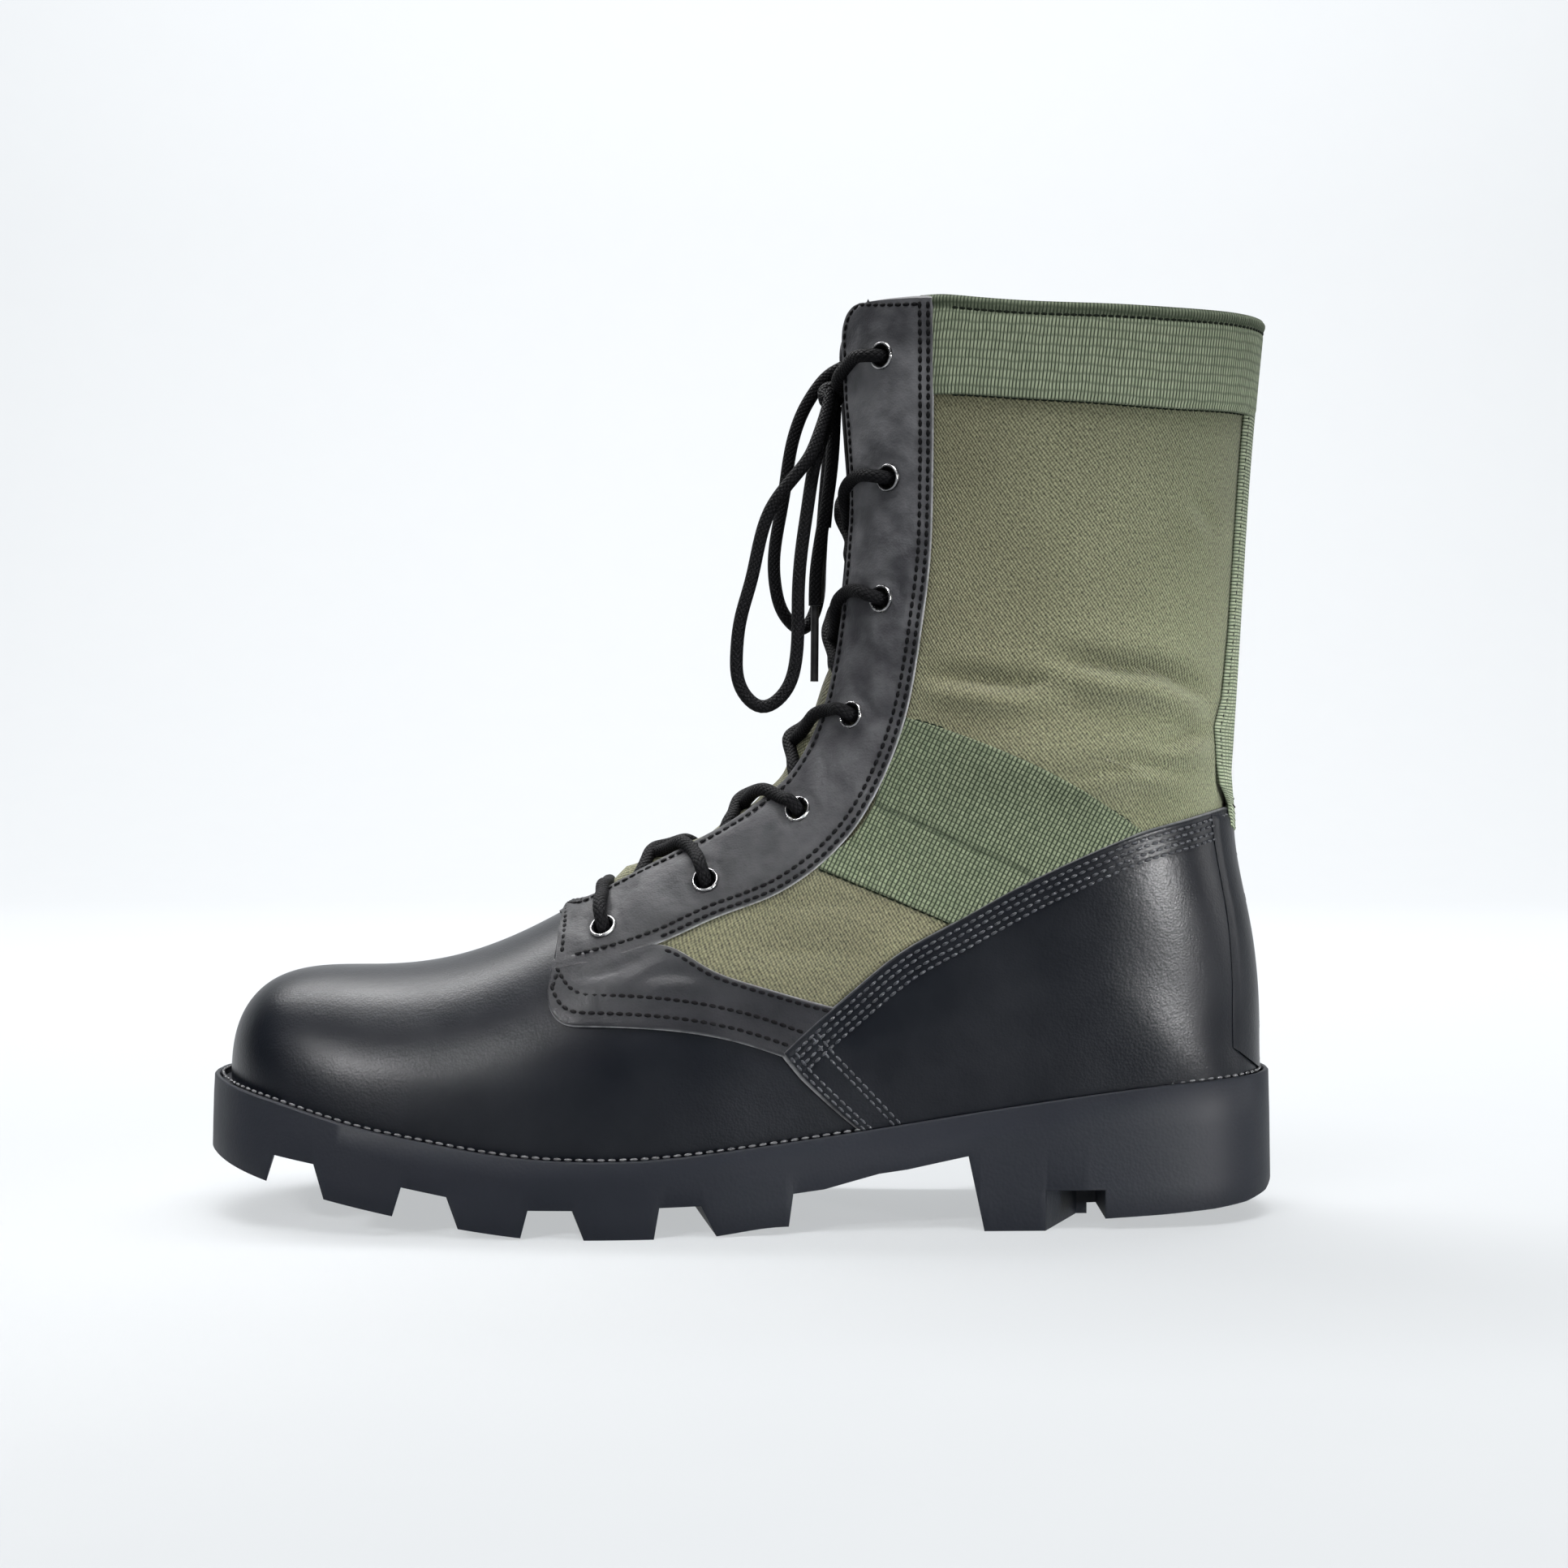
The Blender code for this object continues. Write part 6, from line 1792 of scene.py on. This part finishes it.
@dataclass
class WebbingTrim:
    """Cuff at the collar, ankle bands and backstay of woven webbing."""

    form: BootForm
    looks: Finishes
    lift: float = 0.2
    skin: float = 1.5
    cuff_foot: tuple = (
        (51.0, 226.4), (53.9, 226.3), (74.2, 224.5), (96.0, 223.2), (118.7, 222.4), (136.0, 223.4),
        (144.0, 224.0),
    )
    band_top: tuple = ((44.0, 139.4), (46.9, 138.6), (63.7, 133.0), (85.5, 123.1), (110.5, 107.4))
    band_foot: tuple = ((19.5, 98.3), (23.1, 96.9), (37.6, 91.1), (60.0, 81.8))
    backstay_at: tuple = (106.5, 113.5, 117.5, 126.0, 133.0, 142.0, 160.0, 226.0)
    backstay_half_width: tuple = (13.0, 13.2, 17.6, 19.0, 20.6, 18.4, 17.6, 17.4)
    backstay_span: tuple[float, float] = (106.5, 226.0)

    def build_cuff(self) -> None:
        """Cuff round the collar, turned over its top edge."""
        form = self.form
        foot = around_back(form.rail(self.cuff_foot, 130))
        foot[129, 1] = math.pi
        top = np.column_stack((np.ones(len(foot)), foot[:, 1]))
        top[:, 0] = form.dipped(top[:, 0], top[:, 1])
        panel = Panel.between(form, foot, top, fine_ends(26.0, 40), Side.LATERAL.value)
        sunk = np.clip(panel.edge_distance("be") / 5.0, 0.2, 1.0) ** 0.7
        offset = self.lift + crown(panel.edge_distance("f"), self.skin, 0.7) * sunk
        rolled = panel.edge_distance("l")
        offset += 0.35 * np.exp(-((rolled - 1.6) / 1.0) ** 2) - 0.3 * np.exp(-((rolled - 3.6) / 0.5) ** 2)
        offset -= 0.5 * np.exp(-((rolled) / 0.5) ** 2)
        offset -= 0.35 * np.exp(-((panel.edge_distance("f") - 0.9) / 0.45) ** 2)
        # The shaded mask paints shade on the rolled top, within about 3.9 mm of the top edge.
        piece = panel.sheet("webbing_cuff", offset, 4.2, shaded=np.clip((3.9 - rolled) / 0.5, 0.0, 1.0))
        dress(piece, self.looks.cuff_web, ("cuff",))
        threads = Threadwork(form)
        inner = slice(9, -9)
        # Dark stitches right on the lower edge: real stitching and a painted shade line under the edge.
        threads.add_line(panel.line_across(0.0, True, inner), Side.LATERAL.value, 0.35, 2.0)
        line = panel.line_across(3.4, False, inner)
        threads.add_line(line, Side.LATERAL.value, self.lift + self.skin - 0.3, 2.0)
        dress(threads.build("stitches_cuff", 1.9, 1.0, 0.8), self.looks.green_thread_edge_shade)

    def build_band(self, side: Side) -> None:
        """Ankle band from the eyestay down to the counter."""
        form = self.form
        first, last = form.rail(self.band_top, 110), form.rail(self.band_foot, 110)
        panel = Panel.between(form, first, last, fine_ends(42.0, 50), side.value)
        near = panel.edge_distance("fl")
        sunk = np.clip(panel.edge_distance("be") / 5.0, 0.3, 1.0) ** 0.7
        offset = self.lift + crown(near, self.skin - 0.4, 0.9) * sunk
        offset += total_relief(Upper.canvas_folds, panel.base)
        half = np.abs(panel.down - 0.5 * panel.down[-1:])
        offset -= 0.5 * np.exp(-((half / 0.6) ** 2))
        flat = panel.base[..., (0, 2)]
        axis = np.subtract(self.band_top[-1], self.band_top[1])
        axis = axis / np.linalg.norm(axis)
        uv = np.stack((flat @ axis, flat @ np.array((axis[1], -axis[0]))), axis=-1)
        # The shaded mask paints shade along the groove in the band's middle.
        shaded = np.exp(-((half / 0.7) ** 2))
        piece = panel.sheet(f"ankle_band_{side.label}", offset, 1.3, shaded=shaded, uv=uv)
        dress(piece, self.looks.ankle_web, (f"ankle_web_{side.label}",))
        threads = Threadwork(form)
        # Dark stitches right on both edges: real stitching and a painted shade line under the edges.
        for first_edge in (True, False):
            line = panel.line_across(0.0, first_edge, slice(7, -7))
            threads.add_line(line, side.value, 0.35, 2.2)
        piece = threads.build(f"stitches_band_{side.label}", 2.1, 1.0, 0.8)
        dress(piece, self.looks.green_thread_edge_shade)

    def build_backstay(self) -> None:
        """Webbing strip up the back, tacked down over the heel strap."""
        form = self.form
        low, high = self.backstay_span
        heights = np.linspace(low, high, 120)
        width = np.interp(heights, self.backstay_at, self.backstay_half_width)
        panel = form.back_strip(heights, width, 41)
        over = np.interp(heights, (low, 112.0, 124.0), (1.6, 1.6, 0.2))[None, :]
        offset = over + crown(panel.edge_distance("flb"), 1.2, 0.8)
        piece = panel.sheet("webbing_backstay", offset, 1.3)
        dress(piece, self.looks.cuff_web, ("backstay",))
        threads = Threadwork(form)
        for first_edge in (True, False):
            line = panel.line_across(1.8, first_edge, slice(16, None))
            threads.add_line(line, Side.LATERAL.value, 1.3, 2.3)
        for distance in (1.4, 3.4, 5.4, 7.4):
            line = panel.line_down(distance, True, slice(3, -3))
            threads.add_line(line, Side.LATERAL.value, 2.65, 1.9)
        dress(threads.build("stitches_backstay", 1.5, 0.6, 0.5), self.looks.thread)

    def build(self) -> None:
        """All webbing pieces."""
        self.build_cuff()
        self.build_backstay()
        for side in Side:
            self.build_band(side)


@dataclass
class Eyelets:
    """Turned metal rings with a worn bright rim."""

    form: BootForm
    looks: Finishes
    centres: tuple = (
        (40.2, 238.2), (42.0, 204.8), (40.1, 171.6), (31.9, 139.6), (16.7, 113.0), (-9.1, 93.2),
        (-36.9, 80.4),
    )
    profile: tuple = (
        (2.9, -3.2), (2.9, 0.1), (2.96, 0.4), (3.12, 0.66), (3.36, 0.76), (3.6, 0.68), (3.8, 0.42),
        (3.86, 0.1),
        (3.8, -0.25), (3.1, -0.3), (3.1, -3.2),
    )
    sides: int = 40
    hole: float = 3.15
    base_offset: float = 1.66

    def frame(self, centre: tuple[float, float], side: Side) -> Matrix:
        """Place and turn of an eyelet."""
        s, angle = self.form.locate(np.array([centre[0]]), np.array([centre[1]]))
        place = self.form.point(s, angle, side.value, self.base_offset)[0]
        axis = Vector(self.form.normal(s, angle, np.array([side.value]))[0])
        return Matrix.Translation(Vector(place) * MM) @ axis.to_track_quat("Z", "Y").to_matrix().to_4x4()

    def hole_cutter(self, centre: tuple[float, float], side: Side) -> bpy.types.Object:
        """Round cutter of the hole that an eyelet sits in."""
        deselect()
        bpy.ops.mesh.primitive_cylinder_add(vertices=28, radius=self.hole * MM, depth=14.0 * MM)
        cutter = bpy.context.object
        cutter.data.transform(self.frame(centre, side))
        return cutter

    def ring(self) -> bpy.types.Mesh:
        """Mesh of one ring about the Z axis, with the rim's faces in the second material."""
        turns = np.linspace(0.0, 2.0 * math.pi, self.sides + 1)
        radius = np.array([point[0] for point in self.profile + self.profile[:1]])
        height = np.array([point[1] for point in self.profile + self.profile[:1]])
        places = np.stack(
            (
                radius[:, None] * np.cos(turns)[None], radius[:, None] * np.sin(turns)[None],
                np.repeat(height[:, None], len(turns), axis=1),
            ),
            axis=-1,
        )
        uv = np.stack(np.meshgrid(turns, np.arange(len(radius))), axis=-1)
        piece = join("eyelet_model", [grid_piece("eyelet_model", places, uv)], 0.01)
        pick(piece)
        bpy.ops.object.mode_set(mode="EDIT")
        bpy.ops.mesh.select_all(action="SELECT")
        bpy.ops.mesh.normals_make_consistent(inside=False)
        bpy.ops.object.mode_set(mode="OBJECT")
        smooth(piece, 50.0)
        mesh = piece.data
        mesh.materials.append(self.looks.enamel)
        mesh.materials.append(self.looks.bare_metal)
        for face in mesh.polygons:
            centre = face.center / MM
            reach = math.hypot(centre.x, centre.y)
            face.material_index = 1 if centre.z > 0.2 and reach > 2.93 else 0
        bpy.data.objects.remove(piece, do_unlink=True)
        return mesh

    def build(self) -> None:
        """All rings, each with its own mesh."""
        model = self.ring()
        for side in Side:
            for i, centre in enumerate(self.centres):
                name = f"eyelet_ring_{side.label}_{i + 1}"
                mesh = model.copy()
                mesh.name = name
                mesh.transform(self.frame(centre, side))
                piece = bpy.data.objects.new(name, mesh)
                bpy.context.scene.collection.objects.link(piece)
                dress(piece, self.looks.enamel, (f"eyelet_{side.label}_{i + 1}",))


@dataclass
class Laces:
    """Braided lace through the eyelets, tied in a bow with two loops and two ends."""

    form: BootForm
    looks: Finishes
    tongue: Tongue
    eyelets: Eyelets
    radius: float = 1.85
    over_skin: float = 1.7
    strand: tuple = (
        (0.06, -1, 15.0, -2.8), (0.18, -1, 12.4, -2.5), (0.29, -1, 9.2, -1.2), (0.38, -1, 5.0, None),
        (0.5, 1, 0.0, None), (0.68, 1, 6.5, None), (0.86, 1, 12.0, None), (0.96, 1, 16.5, None),
    )
    knot: tuple = (
        (26.6, -5.6, 232.6), (24.2, -4.4, 230.6), (23.9, -2.6, 232.8), (26.4, -1.6, 233.9),
        (28.0, -0.4, 231.4),
        (26.0, 0.8, 229.6), (24.0, 2.0, 231.2), (25.4, 3.4, 233.6), (27.6, 4.4, 232.6), (27.2, 5.6, 230.6),
    )
    loop_near: tuple = (
        (25.8, -6.6, 231.6), (24.3, -8.8, 225.4), (22.3, -11.4, 219.2), (19.7, -13.2, 212.9),
        (14.0, -14.0, 205.3),
        (8.6, -14.0, 197.6), (5.6, -14.0, 188.7), (3.1, -14.0, 177.4), (0.3, -14.0, 167.3),
        (-0.9, -14.0, 157.2),
        (0.9, -14.0, 146.6), (6.2, -14.0, 142.4), (12.4, -13.5, 146.2), (15.6, -13.0, 154.7),
        (16.3, -12.6, 163.5),
        (16.4, -12.2, 173.7), (17.3, -11.6, 186.2), (19.1, -11.0, 199.0), (21.2, -10.0, 211.5),
        (24.4, -8.0, 222.6),
        (26.2, -6.4, 229.0),
    )
    loop_far: tuple = (
        (29.6, 1.8, 240.6), (25.4, 3.2, 238.4), (21.4, 4.2, 234.0), (18.0, 5.2, 228.4),
        (14.3, 6.4, 217.0), (12.5, 7.4, 205.3),
        (10.9, 8.0, 196.3), (9.5, 8.5, 185.7), (10.2, 9.0, 176.4), (13.0, 10.0, 169.2), (17.6, 12.0, 166.0),
        (21.4, 13.6, 171.0), (22.9, 13.8, 182.0), (23.6, 13.4, 195.0), (24.8, 11.2, 210.0),
        (26.6, 6.6, 228.0),
    )
    end_near: tuple = (
        (27.0, -2.2, 228.4), (26.2, -2.9, 213.4), (24.9, -3.6, 202.6), (22.7, -4.4, 189.7),
        (21.4, -5.0, 179.5),
        (21.2, -5.2, 171.4),
    )
    tip_near: tuple = ((21.2, -5.2, 171.0), (21.1, -5.6, 160.4), (21.0, -6.0, 149.8))
    end_far: tuple = ((26.8, 2.6, 228.0), (26.2, 4.2, 215.0), (25.2, 5.6, 205.0), (24.2, 6.6, 195.0))
    tip_far: tuple = ((24.15, 6.65, 194.6), (23.4, 7.2, 184.0), (22.8, 7.6, 173.4))
    tip_radius: float = 1.15

    def tube(self, name: str, path: np.ndarray, radius: float, around: int = 16) -> bpy.types.Object:
        """Round cord along a path, with flat ends.

        Args:
            name: Name of the piece.
            path: Points of its middle in millimetres.
            radius: Radius of the cord.
            around: Number of sides.

        Returns:
            The piece, with texture places of run in millimetres and turn from 0 to 1.
        """
        ahead = np.gradient(path, axis=0)
        ahead /= np.linalg.norm(ahead, axis=1, keepdims=True)
        across = np.cross(ahead[0], (0.3, 0.2, 0.9))
        frames = []
        for direction in ahead:
            across = across - direction * (across @ direction)
            across = across / np.linalg.norm(across)
            frames.append((across, np.cross(direction, across)))
        turns = np.linspace(0.0, 2.0 * math.pi, around + 1)
        first = np.array([frame[0] for frame in frames])
        second = np.array([frame[1] for frame in frames])
        ring = first[:, None] * np.cos(turns)[:, None] + second[:, None] * np.sin(turns)[:, None]
        body = path[:, None] + ring * radius
        caps = [np.repeat(path[i][None], len(turns), axis=0)[None] for i in (0, -1)]
        places = np.concatenate((caps[0], body, caps[1]))
        run = run_length(path)
        run = np.concatenate((run[:1], run, run[-1:]))
        uv = np.stack(np.broadcast_arrays(run[:, None], turns[None] / (2 * math.pi)), axis=-1)
        piece = join(name, [grid_piece(name, places, uv)], 0.005)
        pick(piece)
        bpy.ops.object.mode_set(mode="EDIT")
        bpy.ops.mesh.select_all(action="SELECT")
        bpy.ops.mesh.normals_make_consistent(inside=False)
        bpy.ops.object.mode_set(mode="OBJECT")
        smooth(piece, 60.0)
        return piece

    def over(self, s: float, gap: float, side: float, offset: float | None, sign: float) -> np.ndarray:
        """Place of the lace's middle over the tongue or an eyestay.

        Args:
            s: Section.
            gap: Distance from the ridge.
            side: Plus one on the side that the strand runs up to.
            offset: Offset from the form, or None to lie on what is under it.
            sign: Sign of that side of the foot.

        Returns:
            The point in millimetres.
        """
        at = np.array([s])
        angle = self.form.gap_angle(at, np.array([gap]))
        if offset is None:
            on_tongue = float(self.tongue.lift(at, angle)[0]) - 0.9 + self.radius
            on_skin = self.over_skin - 0.9 + self.radius
            climb = min(max((gap - 2.0) / 8.0, 0.0), 1.0) if side > 0 else 0.0
            offset = on_skin if side > 0 and gap > 10.0 else on_tongue + (on_skin - on_tongue) * climb
        return self.form.point(at, angle, sign * side, offset)[0]

    def into_eyelet(self, centre: tuple[float, float], sign: float) -> list[np.ndarray]:
        """Last points of a strand, over the ring's rim and down through its hole."""
        s, angle = self.form.locate(np.array([centre[0]]), np.array([centre[1]]))
        points = []
        over = self.over_skin
        for back, offset in ((0.16, over + 2.3), (0.05, over + 1.9), (0.0, 0.4), (0.0, -2.8)):
            points.append(self.form.point(s, angle - back, sign, offset)[0])
        return points

    def section_of(self, centre: tuple[float, float]) -> float:
        """Section on which an eyelet sits."""
        return float(self.form.locate(np.array([centre[0]]), np.array([centre[1]]))[0][0])

    def build_crossings(self) -> None:
        """Bottom bar, the strands that cross up the throat and the top strands to the knot."""
        centres = self.eyelets.centres
        ends = [self.section_of(centre) for centre in centres]
        self.build_bar("lace_bottom_bar", centres[-1], 0.0, "lace_bar")
        self.build_bar("lace_top_bar", centres[0], 8.4 / (0.5 * self.form.length), "lace_top")
        for i in range(1, len(centres) - 1):
            strands = []
            for side in Side:
                points = []
                for share, way, gap, offset in self.strand:
                    s = ends[i + 1] + share * (ends[i] - ends[i + 1])
                    points.append(self.over(s, gap, way, offset, side.value))
                points += self.into_eyelet(centres[i], side.value)[1:]
                path = through(points, 70)
                if side is Side.MEDIAL:
                    middle = np.exp(-((np.linspace(0.0, 1.0, 70) - 0.42) / 0.12) ** 2)
                    path[:, 0] -= 1.7 * middle
                    path[:, 2] += 0.8 * middle
                strands.append(self.tube(f"lace_strand_{i}_{side.label}", path, self.radius))
            piece = join(f"lace_crossing_{i}", strands, 0.001)
            dress(piece, self.looks.lace, (f"lace_cross_{i}",))

    def build_bar(self, name: str, centre: tuple[float, float], drop: float, node: str) -> None:
        """Strand across the throat between the two eyelets of a pair."""
        s = self.section_of(centre)
        halves = []
        for side in Side:
            points = self.into_eyelet(centre, side.value)[::-1]
            for gap, sink in ((16.5, 0.3), (12.6, 0.58), (6.5, 0.94)):
                points.append(self.over(s - sink * drop, gap, 1.0, None, side.value))
            halves.append(points)
        middle = self.over(s - drop, 0.0, 1.0, None, 1.0)
        path = through(np.vstack((halves[0], middle[None], halves[1][::-1])), 90)
        dress(self.tube(name, path, self.radius), self.looks.lace, (node,))

    def build_bow(self) -> None:
        """Knot, two loops and two ends with their tips."""
        knot = self.tube("lace_bow_knot", through(self.knot, 70), self.radius * 0.95)
        dress(knot, self.looks.lace, ("lace_knot",))
        for name, route in (("near", self.loop_near), ("far", self.loop_far)):
            path = through(route, 150)
            piece = self.tube(f"lace_bow_loop_{name}", path, self.radius)
            dress(piece, self.looks.lace, (f"lace_loop_{name}",), cord=True)
        ends = (("near", self.end_near, self.tip_near), ("far", self.end_far, self.tip_far))
        for name, route, tip_route in ends:
            path = through(route, 60)
            piece = self.tube(f"lace_bow_end_{name}", path, self.radius)
            dress(piece, self.looks.lace, (f"lace_end_{name}",), cord=True)
            tip = self.tube(f"lace_bow_tip_{name}", through(tip_route, 24), self.tip_radius)
            dress(tip, self.looks.tip, (f"lace_tip_{name}",))


@dataclass
class Studio:
    """Camera, soft lights and a pale floor that sweeps up behind the boot."""

    looks: Finishes
    camera_place: tuple[float, float, float] = (0.0124, -0.650, 0.1207)
    lens: float = 52.08
    back: float = 1.6
    sweep: float = 0.9

    def place_camera(self) -> None:
        """Camera at the photograph's height, level and square to the boot's side."""
        data = bpy.data.cameras.new("photo_camera")
        data.lens = self.lens
        data.sensor_width = 36.0
        data.clip_start = 0.01
        camera = bpy.data.objects.new("photo_camera", data)
        camera.location = self.camera_place
        camera.rotation_euler = (math.radians(90.0), 0.0, 0.0)
        bpy.context.scene.collection.objects.link(camera)
        bpy.context.scene.camera = camera

    def build_floor(self) -> None:
        """Floor that turns up into a back wall."""
        turn = np.linspace(0.0, math.pi / 2, 24)
        profile = [(-2.5, 0.0), (0.0, 0.0)]
        profile += [(self.back + self.sweep * math.sin(a), self.sweep * (1.0 - math.cos(a))) for a in turn]
        profile.append((self.back + self.sweep, 4.0))
        across = np.linspace(-4.0, 4.0, 3)
        places = np.array([[(x, y, z) for x in across] for y, z in profile]) / MM
        uv = places[..., :2]
        piece = grid_piece("studio_floor", places, uv, np.array((0.0, -0.5, 1.0)))
        smooth(piece, 60.0)
        piece.data.materials.append(self.looks.floor)

    @staticmethod
    def light(
        name: str,
        place: Route,
        target: Route,
        size: tuple[float, float],
        power: float,
        spread: float = 180.0,
    ) -> None:
        """Soft box that faces a point.

        Args:
            name: Name of the light.
            place: Where it stands, in metres.
            target: Point that it faces.
            size: Width and height.
            power: Power in watts.
            spread: Angle of its beam in degrees.
        """
        data = bpy.data.lights.new(name, "AREA")
        data.shape = "RECTANGLE"
        data.size, data.size_y = size
        data.energy = power
        data.spread = math.radians(spread)
        lamp = bpy.data.objects.new(name, data)
        lamp.location = place
        aim = Vector(target) - Vector(place)
        lamp.rotation_euler = aim.to_track_quat("-Z", "Y").to_euler()
        bpy.context.scene.collection.objects.link(lamp)

    def build(self) -> None:
        """Floor, world light and soft boxes."""
        self.build_floor()
        world = bpy.data.worlds.new("studio_air")
        world.use_nodes = True
        background = world.node_tree.nodes["Background"]
        background.inputs["Color"].default_value = (0.95, 0.97, 1.0, 1.0)
        background.inputs["Strength"].default_value = 0.12
        bpy.context.scene.world = world
        self.light("vamp_box", (-0.42, 0.48, 1.2), (-0.04, 0.0, 0.06), (0.9, 0.85), 5.2, 110.0)
        self.light("top_box", (0.08, -0.42, 1.35), (0.05, 0.0, 0.1), (0.8, 0.35), 20.0)
        self.light("key_box", (-0.15, -0.85, 0.95), (0.0, 0.0, 0.1), (0.9, 0.6), 2.0)
        self.light("side_box", (-0.49, -0.78, 0.74), (-0.075, -0.03, 0.04), (0.3, 0.3), 0.02, 12.0)
        self.light("toe_box", (-0.78, -0.82, 0.68), (-0.107, -0.037, 0.044), (0.22, 0.26), 0.22, 12.0)
        self.light("heel_box", (0.88, -0.81, 0.13), (0.118, -0.031, 0.075), (0.24, 0.24), 0.32, 12.0)
        self.light("lace_box", (-0.49, -0.85, 0.33), (0.035, -0.02, 0.2), (0.35, 0.5), 0.045, 14.0)
        self.light("right_box", (1.15, 0.0, 0.25), (0.14, 0.0, 0.08), (0.25, 0.4), 0.28, 60.0)
        self.light("wall_box", (0.0, 0.8, 1.8), (0.0, 2.2, 0.3), (3.0, 0.8), 178.0)
        scene = bpy.context.scene
        scene.view_settings.view_transform = "Standard"


def main() -> None:
    """Build the boot's pieces on the frame and report each of them."""
    logging.basicConfig(level=logging.INFO, format="%(name)s: %(message)s")
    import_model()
    form = BootForm(SoleLine())
    looks = Finishes()
    studio = Studio(looks)
    studio.place_camera()
    tongue = Tongue(form, looks)
    eyelets = Eyelets(form, looks)
    laces = Laces(form, looks, tongue, eyelets)
    laces.build_bow()
    laces.build_crossings()
    eyelets.build()
    tongue.build()
    sole = Outsole(form, looks)
    sole.build()
    upper = Upper(form, looks)
    upper.build_vamp()
    upper.build_shaft()
    upper.build_lining()
    upper.build_footbed(sole.outline())
    LeatherOverlays(form, looks, eyelets).build()
    WebbingTrim(form, looks).build()
    studio.build()


if __name__ == "__main__":
    main()
